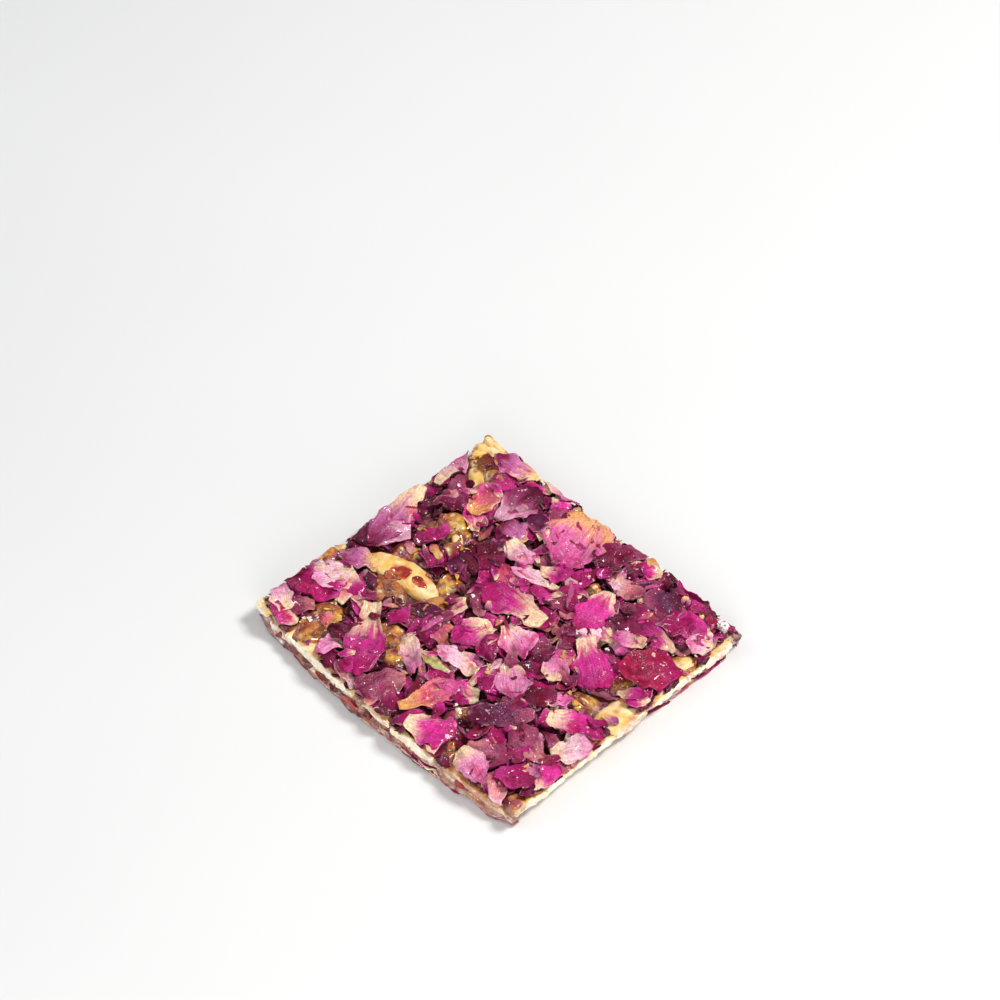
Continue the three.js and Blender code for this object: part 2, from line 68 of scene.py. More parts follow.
# The cuts and the bow of the front one, the foot of the front side, the break under the right one,
# the pressed mass between its top and the petals below it, and how high petals may reach
CUT_X = node_box("cashew_cut_right")[1][0]
BOW = -node_box("cashew_end_front")[0][1] - CUT_Y
BOW_DEPTH = 5.0
FOOT_REACH = 1.3
FOOT_UNEVEN = 0.35
FOOT_TOP = 2.3
FOOT_END = 6.0
BREAK_DEPTH = 2.6
BREAK_FROM = node_box("cashew_slice_right")[0][1] - 2
BREAK_TO = 12.0
FLAKES_OVER_CORE = 1.55
CORE_TOP = node_box("brittle_core")[1][2] - FLAKES_OVER_CORE
UNDER_TOP = 0.45
CEILING_FROM = 5.9
CEILING = 7.9

# The height maps that petals are laid on, and how petals end at the cuts
CELL = 0.2
MAP_MARGIN = 3.0
REST_REACH = 2
REST_SINK = 0.25
OVER_CUT = 0.45
CUT_SOFT = 1.5

# Petal forms: how a petal is bent. Angles are in radians, shares run from 0 to 1
FORMS = {
    "flat": {"cup": 0.15, "ruffle": 0.3, "pleat": 0.5, "curl": 0.15, "roll": 0.7, "fold": 0.0},
    "cupped": {"cup": 0.6, "ruffle": 0.3, "pleat": 0.35, "curl": 0.4, "roll": 0.6, "fold": 0.0},
    "domed": {"cup": -0.6, "ruffle": 0.25, "pleat": 0.3, "curl": -0.4, "roll": 0.5, "fold": 0.0},
    "ruffled": {"cup": 0.2, "ruffle": 0.6, "pleat": 0.85, "curl": 0.3, "roll": 1.2, "fold": 0.0},
    "folded": {"cup": 0.1, "ruffle": 0.3, "pleat": 0.3, "curl": 0.1, "roll": 0.4, "fold": 2.6},
    "creased": {"cup": -0.1, "ruffle": 0.3, "pleat": 0.45, "curl": 0.1, "roll": 0.8, "fold": 1.1},
    "rolled": {"cup": 1.4, "ruffle": 0.4, "pleat": 0.3, "curl": 0.4, "roll": 0.6, "fold": 0.0},
    "tip_up": {"cup": 0.2, "ruffle": 0.35, "pleat": 0.6, "curl": 0.9, "roll": 0.8, "fold": 0.0},
}

# Petal colourings from the claw over the middle to the tip, by the names of the colours below
PALETTES = {
    "great_pink": ("orange", "rose_pink", "rose"),
    "plum": ("mauve", "plum", "dark_plum"),
    "plum_pale": ("pale_lilac", "bruise", "dark_plum"),
    "lilac": ("cream", "pale_lilac", "rose_pink"),
    "lilac_plum": ("cream_yellow", "lilac", "plum"),
    "magenta": ("cream", "magenta", "deep_magenta"),
    "deep": ("magenta", "deep_magenta", "plum"),
    "crimson": ("deep_magenta", "crimson", "crimson"),
    "pink": ("cream", "light_pink", "rose"),
    "pale": ("cream", "pale_pink", "light_pink"),
    "coral": ("orange", "coral", "rose"),
    "orange_red": ("toffee_yellow", "coral", "crimson"),
    "salmon": ("pale_pink", "salmon", "mauve"),
    "mauve": ("salmon", "mauve", "plum"),
    "slate": ("mauve", "slate", "dark_plum"),
    "cream": ("cream_yellow", "cream", "pale_pink"),
    "sepal": ("sepal_pale", "sepal_green", "sepal_green"),
    "stalk": ("stalk_grey", "stalk_grey", "sepal_pale"),
    "brown": ("toffee_brown", "burgundy", "toffee_brown"),
    "burgundy": ("plum", "burgundy", "dark_plum"),
    "orange_light": ("cream_yellow", "orange", "coral"),
    "toffee_pale": ("kernel_cream", "toffee_yellow", "toffee_amber"),
    "lilac_dark": ("cream", "lilac", "plum"),
    "crust": ("kernel_cream", "crust_beige", "crust_brown"),
    "crust_pink": ("crust_beige", "crust_beige", "mauve"),
    "crust_dark": ("crust_beige", "crust_brown", "burgundy"),
}

# The petals that show best, lowest first: name, claw, tip, width, colouring and form. Those that
# stand for a CAD node carry its name and places
PETALS = [
    ("stalk_dry", (6.6, 25), (12.2, 29.8), 1.6, "stalk", "rolled"),
    ("sepal_green", (4.2, -19.6), (-3.4, -20.6), 3.2, "sepal", "creased"),
    ("petal_coral", (-24, 15.5), (-27, 25.5), 7.5, "coral", "flat"),
    ("petal_plum_left", (-19, 18.5), (-19, 31.5), 9, "plum_pale", "cupped"),
    ("petal_violet_corner", (-21, 33.5), (-33, 31), 6.5, "lilac_plum", "domed"),
    ("petal_pink_edge", (-20, 34.5), (-9.5, 34.5), 6, "pink", "creased"),
    ("petal_lilac_edge", (-36, 16.5), (-39.5, 28), 6, "lilac", "flat"),
    ("petal_left_long", (-37.5, 13), (-33, -7.5), 9, "lilac_dark", "creased"),
    ("petal_great_pink", (-5, 35.5), (-0.5, 18.5), 17, "great_pink", "flat"),
    ("petal_plum_top", (9.5, 36), (4, 24.5), 9, "plum", "creased"),
    ("petal_pale_middle", (-13, 15.5), (-5, 14), 6, "lilac", "cupped"),
    ("petal_orange_red", (-0.5, 4.5), (-8.5, 9.5), 6.5, "orange_red", "flat"),
    ("petal_magenta_long", (8.5, 4.5), (-10, 3), 8.5, "magenta", "domed"),
    ("petal_pale_folded", (4, 13.5), (-7, 10), 5, "pale", "folded"),
    ("petal_salmon", (10, 23.5), (18, 25.5), 6, "salmon", "ruffled"),
    ("petal_edge_right", (20, 34.5), (30, 34), 6, "deep", "creased"),
    ("petal_purple_top", (19, 24.5), (25, 31), 8, "slate", "domed"),
    ("petal_plum_large", (26.5, 22.5), (17, 15.5), 10, "plum", "flat"),
    ("petal_crumpled_right", (33.5, 29), (25.5, 22), 8, "deep", "ruffled"),
    ("petal_lilac_corner", (38, 26), (33, 22.5), 5.5, "lilac", "tip_up"),
    ("petal_crimson", (38, 16.5), (27, 8.5), 11, "crimson", "flat"),
    ("petal_bright_strip", (32.5, 20), (24, 19.5), 3.6, "magenta", "creased"),
    ("petal_centre_right", (12.5, 21), (15, 8), 8, "magenta", "domed"),
    ("petal_cream_tip", (27, 17), (20, 12), 4.5, "pink", "tip_up"),
    ("petal_domed", (17.5, 8), (28.5, 0.5), 8.5, "magenta", "domed"),
    ("petal_lilac_right", (21, -5), (16, 1.5), 6.5, "pink", "tip_up"),
    ("petal_centre_down", (0.8, -3.5), (-1, -13.5), 9, "magenta", "cupped"),
    ("petal_round_centre", (3, -1.5), (12, -5), 9, "pink", "cupped"),
    ("petal_triangle", (10.5, -8), (18.5, -15), 8, "pink", "flat"),
    ("petal_salmon_low", (8, -15), (-3, -17), 5, "pale", "ruffled"),
    ("petal_slate_fold", (24.5, -14.5), (14, -25), 7, "slate", "creased"),
    ("petal_orange_base", (26.5, -13), (38, -8), 7, "magenta", "creased"),
    ("petal_mauve", (33.5, -22), (23, -20), 7, "mauve", "flat"),
    ("petal_corner_right", (39.5, -28.5), (35.5, -19.5), 6.5, "magenta", "domed"),
    ("petal_white_pink", (33.5, -19), (39, -11.5), 7.5, "pale", "flat"),
    ("petal_coral_low", (3, -32.5), (8.5, -20.5), 7.5, "coral", "flat"),
    ("petal_pink_low", (19.5, -31.5), (29.5, -34.5), 6.5, "pink", "cupped"),
    ("petal_square", (-15.5, -12.5), (-14.5, -19), 5.5, "deep", "flat"),
    ("petal_long_folded", (-20.5, -17.5), (-8, -33), 9, "magenta", "creased"),
    ("petal_low_left", (-27.5, -21), (-39, -27), 7.5, "deep", "ruffled"),
    ("petal_pale_left", (-30, -14.5), (-34.5, -23.5), 7, "pale", "flat"),
    ("petal_curled_corner", (-32, -33), (-39, -29), 6, "lilac", "rolled"),
]
# Petals partly under the large ones: claw, tip, width, colouring and form
LOW_PETALS = [
    ((-12.5, 21.5), (-12.5, 27), 6, "slate", "cupped"),
    ((-10.5, 18), (-17.5, 19.5), 6.5, "lilac_plum", "ruffled"),
    ((-24, 8.5), (-28, 1), 7, "deep", "creased"), ((-14.5, 1), (-18, 3.6), 3.8, "slate", "flat"),
    ((-10, 11.5), (-17.5, 5), 8, "burgundy", "ruffled"), ((-11, 6), (-16, 12.5), 6, "burgundy", "ruffled"),
    ((11, 34.5), (16, 35), 5, "orange_light", "flat"), ((16.5, 33), (11, 30), 5.5, "magenta", "ruffled"),
    ((24.5, 32), (30, 30), 3.6, "crimson", "creased"), ((29, 31.5), (37, 26.5), 2.6, "cream", "rolled"),
    ((6, 9), (10.5, 16.5), 5, "plum", "creased"), ((4, 17), (9.5, 11), 4.5, "deep", "folded"),
    ((8.5, -11.5), (5.5, -13.5), 2.6, "pink", "tip_up"),
    ((12, -18.5), (7, -22), 5.5, "magenta", "ruffled"), ((14.5, -15.5), (9.5, -17), 4, "deep", "cupped"),
    ((7, -34), (17, -30.5), 7, "magenta", "domed"), ((20, -30.5), (30, -27), 7.5, "mauve", "ruffled"),
    ((29.5, -31.5), (36.5, -25.5), 7, "deep", "domed"),
    ((19, -29), (19.5, -21.5), 4, "crimson", "creased"),
    ((-28.5, -9), (-35.5, -14), 7.5, "lilac_plum", "ruffled"),
    ((-31, -16), (-23, -19), 6, "magenta", "domed"), ((-6, -4), (-8.5, -17), 4.6, "magenta", "folded"),
    ((-9.8, -18.3), (-1, -24.5), 6, "lilac", "ruffled"), ((-17.5, -29), (-20.5, -35), 6, "pink", "cupped"),
    ((-1, -27.5), (-7.5, -35), 7.5, "mauve", "ruffled"), ((-1.5, -31), (3, -35.5), 5.5, "plum", "creased"),
    ((-22.5, -25.5), (-26, -29), 3.4, "orange_red", "ruffled"),
    ((-25.5, -1.5), (-28.5, 0), 2.4, "salmon", "ruffled"), ((20, -3), (13, -7), 5, "plum", "ruffled"),
    ((22.5, 5), (31, 7.5), 6, "deep", "ruffled"), ((-29, 1.5), (-38.5, -8), 7.5, "plum_pale", "domed"),
    ((-3, 24), (-9.5, 30), 6, "deep", "ruffled"), ((-28, 33), (-34, 27), 6, "brown", "ruffled"),
    ((-6, -9), (-14.5, -12), 5, "slate", "ruffled"), ((3, 0), (9.5, 8.5), 6.5, "deep", "ruffled"),
    ((33.5, -3.5), (37.5, -2), 2.6, "lilac_plum", "flat"),
    ((31, 3.5), (37.5, 6.5), 4.5, "magenta", "ruffled"), ((-2, -19), (7, -24), 6, "deep", "creased"),
    ((28, 13.5), (32, 17.5), 6, "deep", "cupped"), ((14, 12.5), (19, 7.5), 6, "pale", "ruffled"),
    ((-33, 20), (-27, 12.5), 7, "plum", "ruffled"), ((-21, 13), (-26, 18), 6, "magenta", "ruffled"),
    ((-15, -24.5), (-22.5, -30), 6.5, "plum", "ruffled"), ((2, -7), (8, -11), 5.5, "deep", "ruffled"),
    ((17, -17), (24, -12), 6, "plum", "ruffled"), ((24.5, -8), (19.5, -12.5), 5.5, "burgundy", "ruffled"),
    ((11, 1), (17, -3), 6, "plum", "ruffled"), ((27, 24), (22, 29), 7, "plum", "creased"),
]


def tone(red, green, blue, name, description):
    """A colour property from the display values of its channels, 0 to 255."""
    return FloatVectorProperty(
        name=name, description=description, subtype="COLOR_GAMMA", size=3, min=0.0, max=1.0,
        default=(red / 255, green / 255, blue / 255))


class BrittleColours(PropertyGroup):
    """Colours of the petals, kernels and sugar."""
    cream: tone(254, 215, 174, "Cream", "Claws of most petals")
    cream_yellow: tone(250, 205, 126, "Cream yellow", "Claws that the sugar has stained")
    orange: tone(234, 166, 100, "Orange", "Claws of the coral petals")
    pale_pink: tone(240, 190, 200, "Pale pink", "The palest petals")
    pale_lilac: tone(226, 162, 186, "Pale lilac", "Pale petals that fade to violet")
    light_pink: tone(232, 138, 184, "Light pink", "Light petals")
    rose_pink: tone(210, 102, 154, "Rose pink", "The large petal at the far edge")
    rose: tone(194, 66, 132, "Rose", "Tips of the pink petals")
    lilac: tone(196, 104, 158, "Lilac", "Violet middles")
    magenta: tone(202, 46, 136, "Magenta", "The commonest bright colour")
    deep_magenta: tone(164, 18, 94, "Deep magenta", "Shaded or thicker petals")
    crimson: tone(152, 20, 66, "Crimson", "Red wine petals")
    coral: tone(210, 100, 116, "Coral", "Orange red petals")
    salmon: tone(204, 126, 130, "Salmon", "Dull pink petals")
    mauve: tone(158, 66, 100, "Mauve", "Petals gone dull under the sugar")
    plum: tone(126, 18, 68, "Plum", "Dark petals")
    bruise: tone(148, 48, 96, "Bruise", "What dark blotches take from a petal's colour")
    dark_plum: tone(84, 4, 40, "Dark plum", "The darkest petals")
    slate: tone(98, 24, 68, "Slate", "Grey violet petals")
    burgundy: tone(106, 8, 40, "Burgundy", "Pressed mass between the petals")
    toffee_yellow: tone(226, 178, 76, "Toffee yellow", "Light clear sugar")
    toffee_orange: tone(220, 140, 48, "Toffee orange", "Clear sugar with depth")
    toffee_amber: tone(176, 98, 44, "Toffee amber", "Browned sugar")
    toffee_brown: tone(120, 62, 36, "Toffee brown", "Dark sugar")
    crust_beige: tone(210, 180, 164, "Crust beige", "Dried pulp and sugar at the cuts")
    crust_brown: tone(156, 110, 102, "Crust brown", "Darker pulp at the cuts")
    pocket_red: tone(150, 26, 12, "Pocket red", "Clear sugar over dark petals")
    kernel_cream: tone(244, 222, 168, "Kernel cream", "Outside of the nuts")
    kernel_yellow: tone(232, 192, 96, "Kernel yellow", "Outside of the nuts, in the sugar")
    kernel_white: tone(250, 244, 228, "Kernel white", "Cut nut flesh")
    sepal_green: tone(176, 172, 104, "Leaf green", "The leaf scale")
    sepal_pale: tone(206, 194, 150, "Pale green", "Base of the leaf scale")
    stalk_grey: tone(150, 138, 120, "Stalk grey", "The dry stalk")
    sugar_white: tone(250, 247, 244, "Sugar white", "Sugar grains")


class BrittleSizes(PropertyGroup):
    """Sizes and numbers of the petals and bits."""
    petal_thickness: FloatProperty(
        name="Petal thickness", description="Thickness of a dried petal", default=0.16 * MM, unit="LENGTH")
    petal_step: FloatProperty(
        name="Petal step", description="Mesh step over a large petal", default=0.36 * MM, unit="LENGTH")
    small_petals: IntProperty(name="Small petals", description="Petals between the large ones", default=340)
    flakes: IntProperty(name="Flakes", description="Broken bits under the petals", default=1200)
    loose_flakes: IntProperty(name="Loose flakes", description="Broken bits on top", default=80)
    under_petals: IntProperty(name="Under petals", description="Petals pressed flat below", default=190)
    edge_layers: IntProperty(name="Edge layers", description="Pressed layers at the cuts", default=480)
    crumbs: IntProperty(name="Crumbs", description="Nut crumbs", default=700)
    grains: IntProperty(name="Sugar grains", description="Sugar grains on top", default=560)


# Shared number work

def colour(name):
    """A named colour as linear light values."""
    shown = np.array(getattr(bpy.context.scene.brittle_colours, name))
    return np.where(shown <= 0.04045, shown / 12.92, ((shown + 0.055) / 1.055) ** 2.4)


def smooth(value, low, high):
    """0 below low, 1 above high, and a smooth S between them."""
    t = np.clip((value - low) / (high - low), 0, 1)
    return t * t * (3 - 2 * t)


def mixed(first, second, share):
    """Two colours mixed by a share from 0 to 1 for each place."""
    return first + (second - first) * share[..., None]


def painted(tints, *coats):
    """Colours with coats over them in turn, each a named colour and its share for each place."""
    for name, share in coats:
        tints = mixed(tints, colour(name), share)
    return tints


NOISE_SIDE = 128
NOISE_TABLE = np.random.default_rng(11).uniform(-1, 1, (NOISE_SIDE, NOISE_SIDE))


def blended(left, right, left_up, right_up, across, up):
    """Four corner values blended by how far across and how far up a place lies between them."""
    low = left * (1 - across) + right * across
    high = left_up * (1 - across) + right_up * across
    return low * (1 - up) + high * up


def noise(x, y, cell, shift=0.0):
    """Random lattice values from -1 to 1, a lattice step of cell, blended smoothly between them. The
    shift moves the lattice, and the 500 keeps its numbers above zero."""
    gx = np.asarray(x) / cell + 37.3 * shift + 500.0
    gy = np.asarray(y) / cell + 17.9 * shift + 500.0
    ix, iy = np.floor(gx).astype(int), np.floor(gy).astype(int)
    fx, fy = gx - ix, gy - iy
    fx, fy = fx * fx * (3 - 2 * fx), fy * fy * (3 - 2 * fy)
    ix, iy = ix % NOISE_SIDE, iy % NOISE_SIDE
    jx, jy = (ix + 1) % NOISE_SIDE, (iy + 1) % NOISE_SIDE
    return blended(NOISE_TABLE[iy, ix], NOISE_TABLE[iy, jx], NOISE_TABLE[jy, ix], NOISE_TABLE[jy, jx], fx, fy)


def layered_noise(x, y, cell, shift=0.0, octaves=3):
    """Noise at a cell and at halves of it, each half as strong."""
    total = np.zeros(np.broadcast(x, y).shape)
    for octave in range(octaves):
        total += noise(x, y, cell / 2 ** octave, shift + 1.7 * octave) / 2 ** octave
    return total / 1.6


def blotches(x, y, cell, shift, low, high):
    """Blotches from 0 to 1: layered noise cut off smoothly below low and above high."""
    return smooth(layered_noise(x, y, cell, shift), low, high)


# Places where browned sugar shows between the petals: middle and radius
TOFFEE_SPOTS = np.array([
    (-31, 28, 5.5), (-25, 10, 5), (-12, -9.5, 4.5), (-13, -20, 3.5), (28.5, -4, 3.5), (29, 7, 3),
    (-8, -24, 3), (-27, -25, 3), (18, -32, 2), (-26, -30, 4), (8.5, 19.5, 2), (-27, -1, 3.5),
    (-38, -15, 4), (37.5, -33, 3), (-35, 33, 5), (36, 20, 3), (13, -24, 2), (-22, -11, 4),
    (-14.3, -1.5, 3.2), (-20.2, 6.4, 3)])


def toffee_share(x, y):
    """How much browned sugar shows at a place: 1 in the middle of a spot, 0 at its rim."""
    x, y = np.asarray(x), np.asarray(y)
    dx = x[..., None] - TOFFEE_SPOTS[:, 0]
    dy = y[..., None] - TOFFEE_SPOTS[:, 1]
    reach = np.hypot(dx, dy) / TOFFEE_SPOTS[:, 2]
    return smooth(1.25 - reach.min(axis=-1) + 0.35 * noise(x, y, 2.5, 3), 0.1, 0.6)


# Nuts whose tops stay bare: middle, half length, half width and heading
BARE_NUTS = (
    (-22.6, -7.2, 9.8, 3.8, 0.08), (35.2, 19.4, 3.0, 2.4, 1.3), (34.6, -1.5, 4.2, 3.4, 1.5),
    (-34.6, 32.6, 4.6, 2.8, 0.15), (-31.0, 24.2, 2.2, 1.6, -0.7))


def nut_share(x, y):
    """1 inside the ovals of the bare nuts, 0 outside them."""
    share = np.zeros(np.broadcast(x, y).shape)
    for at_x, at_y, half_long, half_wide, heading in BARE_NUTS:
        cos, sin = math.cos(heading), math.sin(heading)
        along = ((x - at_x) * cos + (y - at_y) * sin) / half_long
        across = ((y - at_y) * cos - (x - at_x) * sin) / half_wide
        share = np.maximum(share, smooth(1.15 - along ** 2 - across ** 2, 0.0, 0.3))
    return share


def bare_share(x, y):
    """1 where a nut or browned sugar stays uncovered, 0 elsewhere."""
    return np.maximum(toffee_share(x, y), nut_share(x, y))


def chunk_cells(x, y, cell, shift):
    """Irregular cells round jittered lattice places: distance from the nearest place in cells, and
    a random number of its own for each cell. The offsets in the table keep its numbers apart."""
    x, y = np.broadcast_arrays(x, y)
    gx, gy = x / cell + 60.5 + 13 * shift, y / cell + 60.5 + 29 * shift
    near = np.full(gx.shape, 9.0)
    own = np.zeros(gx.shape)
    for dx in (-1, 0, 1):
        for dy in (-1, 0, 1):
            ix, iy = np.floor(gx).astype(int) + dx, np.floor(gy).astype(int) + dy
            px = ix + 0.5 + 0.42 * NOISE_TABLE[iy % NOISE_SIDE, ix % NOISE_SIDE]
            py = iy + 0.5 + 0.42 * NOISE_TABLE[(iy + 31) % NOISE_SIDE, (ix + 17) % NOISE_SIDE]
            far = np.hypot(gx - px, gy - py)
            closer = far < near
            near = np.where(closer, far, near)
            own = np.where(closer, NOISE_TABLE[(iy + 67) % NOISE_SIDE, (ix + 41) % NOISE_SIDE], own)
    return near, own / 2 + 0.5


def core_top(x, y):
    """Top of the pressed mass: long waves, domed chunks in their cells and grit on them. The
    browned sugar stands higher than the rest."""
    near, own = chunk_cells(x, y, 2.3, 1)
    amber = toffee_share(x, y)
    chunks = 0.25 * own * (1 - smooth(near, 0.15, 0.75))
    waves = 0.25 * noise(x, y, 9, 1) + 0.15 * layered_noise(x, y, 3.2, 2)
    return CORE_TOP + waves + chunks + 0.8 * amber + 0.07 * noise(x, y, 0.8, 5)


class HeightMap:
    """How high the things laid so far reach, in square cells."""

    def __init__(self, surface):
        self.left = -CUT_X - MAP_MARGIN
        self.front = -CUT_Y - MAP_MARGIN
        columns = int(2 * (CUT_X + MAP_MARGIN) / CELL) + 1
        rows = int(2 * (CUT_Y + MAP_MARGIN) / CELL) + 1
        x = self.left + CELL * np.arange(columns)[None, :]
        y = self.front + CELL * np.arange(rows)[:, None]
        self.heights = surface(x, y)

    def window(self, x, y, margin):
        """The cells round some places, as two slices."""
        rows, columns = self.heights.shape
        left = np.clip(int((x.min() - self.left) / CELL) - margin, 0, columns - 2)
        right = np.clip(int((x.max() - self.left) / CELL) + margin + 2, left + 2, columns)
        front = np.clip(int((y.min() - self.front) / CELL) - margin, 0, rows - 2)
        back = np.clip(int((y.max() - self.front) / CELL) + margin + 2, front + 2, rows)
        return slice(front, back), slice(left, right)

    def rest(self, x, y, stiff):
        """Where a sheet comes to rest: the highest cells near each place, evened out by its stiffness."""
        blur = max(1, int(stiff / CELL))
        rows, columns = self.window(x, y, REST_REACH + blur)
        part = self.heights[rows, columns]
        for axis in (0, 1):
            part = np.max([np.roll(part, k, axis) for k in range(-REST_REACH, REST_REACH + 1)], axis=0)
        even = part
        for axis in (0, 1):
            even = np.mean([np.roll(even, k, axis) for k in range(-blur, blur + 1)], axis=0)
        part = np.maximum(even, part - REST_SINK)
        gx = np.clip((x - self.left) / CELL - columns.start, 0, part.shape[1] - 1.001)
        gy = np.clip((y - self.front) / CELL - rows.start, 0, part.shape[0] - 1.001)
        ix, iy = gx.astype(int), gy.astype(int)
        fx, fy = gx - ix, gy - iy
        return blended(part[iy, ix], part[iy, ix + 1], part[iy + 1, ix], part[iy + 1, ix + 1], fx, fy)

    def lay(self, sheet, thickness):
        """Raises the map to a sheet's upper face, looked up on a grid finer than the cells."""
        rows, columns = sheet.shape[0] - 1, sheet.shape[1] - 1
        step = max(np.abs(np.diff(sheet[..., :2], axis=axis)).max() for axis in (0, 1))
        finer = max(1, math.ceil(step / (0.7 * CELL)))
        i = np.linspace(0, rows, rows * finer + 1)
        j = np.linspace(0, columns, columns * finer + 1)
        i0, j0 = np.minimum(i.astype(int), rows - 1), np.minimum(j.astype(int), columns - 1)
        fi, fj = (i - i0)[:, None, None], (j - j0)[None, :, None]
        fine = blended(sheet[i0][:, j0], sheet[i0 + 1][:, j0], sheet[i0][:, j0 + 1],
                       sheet[i0 + 1][:, j0 + 1], fi, fj)
        last_row, last_column = np.array(self.heights.shape) - 1
        column = np.clip(((fine[..., 0] - self.left) / CELL).round().astype(int), 0, last_column)
        row = np.clip(((fine[..., 1] - self.front) / CELL).round().astype(int), 0, last_row)
        np.maximum.at(self.heights, (row, column), fine[..., 2] + thickness / 2)


maps = {}


def start_maps():
    """Fresh height maps: the top starts on the pressed mass, the underside on the floor."""
    def top(x, y):
        outside = np.maximum(np.abs(x) - CUT_X, 0) + np.maximum(np.abs(y) - CUT_Y, 0)
        return core_top(x, y) - 0.8 * outside

    maps["top"] = HeightMap(top)
    maps["under"] = HeightMap(lambda x, y: np.zeros(np.broadcast(x, y).shape))


def level_at(name, x, y, stiff):
    """How high things reach at one place on a map."""
    return maps[name].rest(np.array([[x]]), np.array([[y]]), stiff)[0, 0]


def on_top(x, y):
    """A place on what lies uppermost."""
    return x, y, level_at("top", x, y, CELL)


# Meshes

def bowed_out(points):
    """Points with the front cut bowed out: y moves out by a cosine over x, in full at the cut and
    less in proportion to the distance from it, down to nothing at the bow's depth."""
    share = np.clip(1 - (points[:, 1] + CUT_Y) / BOW_DEPTH, 0, 1)
    reach = BOW * np.cos(np.pi * np.clip(points[:, 0] / (2 * CUT_X), -0.5, 0.5))
    return points - np.column_stack([0 * share, share * reach, 0 * share])


class Pile:
    """Points, quads, colours and pattern places of many shells that become one mesh."""

    def __init__(self):
        self.points, self.quads, self.tints, self.places = [], [], [], []
        self.count = 0

    def add(self, points, quads, tints, places):
        self.points.append(points)
        self.quads.append(quads + self.count)
        self.tints.append(tints)
        self.places.append(places)
        self.count += len(points)

    def mesh(self, name):
        """One mesh with the colour attribute tint and the UV map places."""
        points = (bowed_out(np.concatenate(self.points)) + CUTS_SHIFT) * MM
        quads = np.concatenate(self.quads)
        tints = np.concatenate(self.tints)
        places = np.concatenate(self.places)
        data = bpy.data.meshes.new(name)
        data.vertices.add(len(points))
        data.vertices.foreach_set("co", points.ravel())
        flat = quads.ravel()
        sides = np.full(len(quads), 4)
        pointed = quads[:, 2] == quads[:, 3]
        if pointed.any():
            sides[pointed] = 3
            keep = np.ones(quads.shape, bool)
            keep[pointed, 3] = False
            flat = flat[keep.ravel()]
        starts = np.concatenate(([0], np.cumsum(sides)[:-1]))
        data.loops.add(len(flat))
        data.loops.foreach_set("vertex_index", flat.astype(np.int32))
        data.polygons.add(len(quads))
        data.polygons.foreach_set("loop_start", starts.astype(np.int32))
        data.update(calc_edges=True)
        data.validate()
        tint = data.color_attributes.new("tint", "FLOAT_COLOR", "POINT")
        tint.data.foreach_set("color", np.column_stack([tints, np.ones(len(tints))]).ravel())
        uv = data.uv_layers.new(name="places")
        uv.uv.foreach_set("vector", places[flat].ravel())
        return data


# Seeds of the random numbers of each group, and the first of one for each piece
SEEDS = {
    "flakes": 21, "small_petals": 33, "toffee": 44, "pockets": 45, "loose_flakes": 55, "crumbs": 66,
    "rim_petals": 71, "under_petals": 77, "edge_layers": 88, "sugar": 99}
FIRST_SEEDS = {"kernels": 60, "nut_pieces": 80, "large_petals": 100, "low_petals": 300}


def start_pile(group):
    """The random numbers of a group of pieces, and an empty pile."""
    return np.random.default_rng(SEEDS[group]), Pile()


def place_piece(pile, name, material, nodes=(), smooth_faces=True):
    """Makes the pile an object that rides on the part, wears the material of a name, made at its
    first use, and hides the CAD nodes that it stands for."""
    data = pile.mesh(name)
    data.polygons.foreach_set("use_smooth", np.full(len(data.polygons), smooth_faces))
    data.materials.append(bpy.data.materials.get(material) or MATERIALS[material]())
    piece = bpy.data.objects.new(name, data)
    bpy.context.scene.collection.objects.link(piece)
    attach(piece, "root")
    if nodes:
        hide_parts(*nodes)


def grid_quads(rows, columns, first=0, flip=False):
    """Quads of a grid of points, wound anticlockwise seen from above, or clockwise."""
    i, j = np.meshgrid(np.arange(rows), np.arange(columns), indexing="ij")
    a = (first + i * (columns + 1) + j).ravel()
    b, c, d = a + columns + 1, a + columns + 2, a + 1
    return np.column_stack([a, d, c, b] if flip else [a, b, c, d])


def grid_rim(rows, columns):
    """Indices round a grid's rim, anticlockwise seen from above."""
    width = columns + 1
    return np.concatenate([
        np.arange(rows) * width, rows * width + np.arange(columns),
        np.arange(rows, 0, -1) * width + columns, np.arange(columns, 0, -1)])


def pointed_quads(rings, sides, flip=False):
    """Quads round rings of points between a first and a last pole. Those at the poles have three
    corners, the last one given twice."""
    a = (np.arange(rings - 1)[:, None] * sides + 1 + np.arange(sides)).ravel()
    b = (np.arange(rings - 1)[:, None] * sides + 1 + (np.arange(sides) + 1) % sides).ravel()
    first, last = 1 + np.arange(sides), 1 + (rings - 1) * sides + np.arange(sides)
    start, end = np.zeros(sides, int), np.full(sides, 1 + rings * sides)
    belt = np.column_stack([a, b, b + sides, a + sides])
    caps = np.concatenate([
        np.column_stack([start, np.roll(first, -1), first]), np.column_stack([end, last, np.roll(last, -1)])])
    if flip:
        belt, caps = belt[:, [0, 3, 2, 1]], caps[:, [0, 2, 1]]
    return np.concatenate([belt, caps[:, [0, 1, 2, 2]]])


def sheet_normals(sheet):
    """Unit normals of a grid of points, from the cross product of its two directions."""
    along, across = np.gradient(sheet, axis=0), np.gradient(sheet, axis=1)
    normal = np.cross(along, across)
    return normal / np.maximum(np.linalg.norm(normal, axis=-1, keepdims=True), 1e-9)


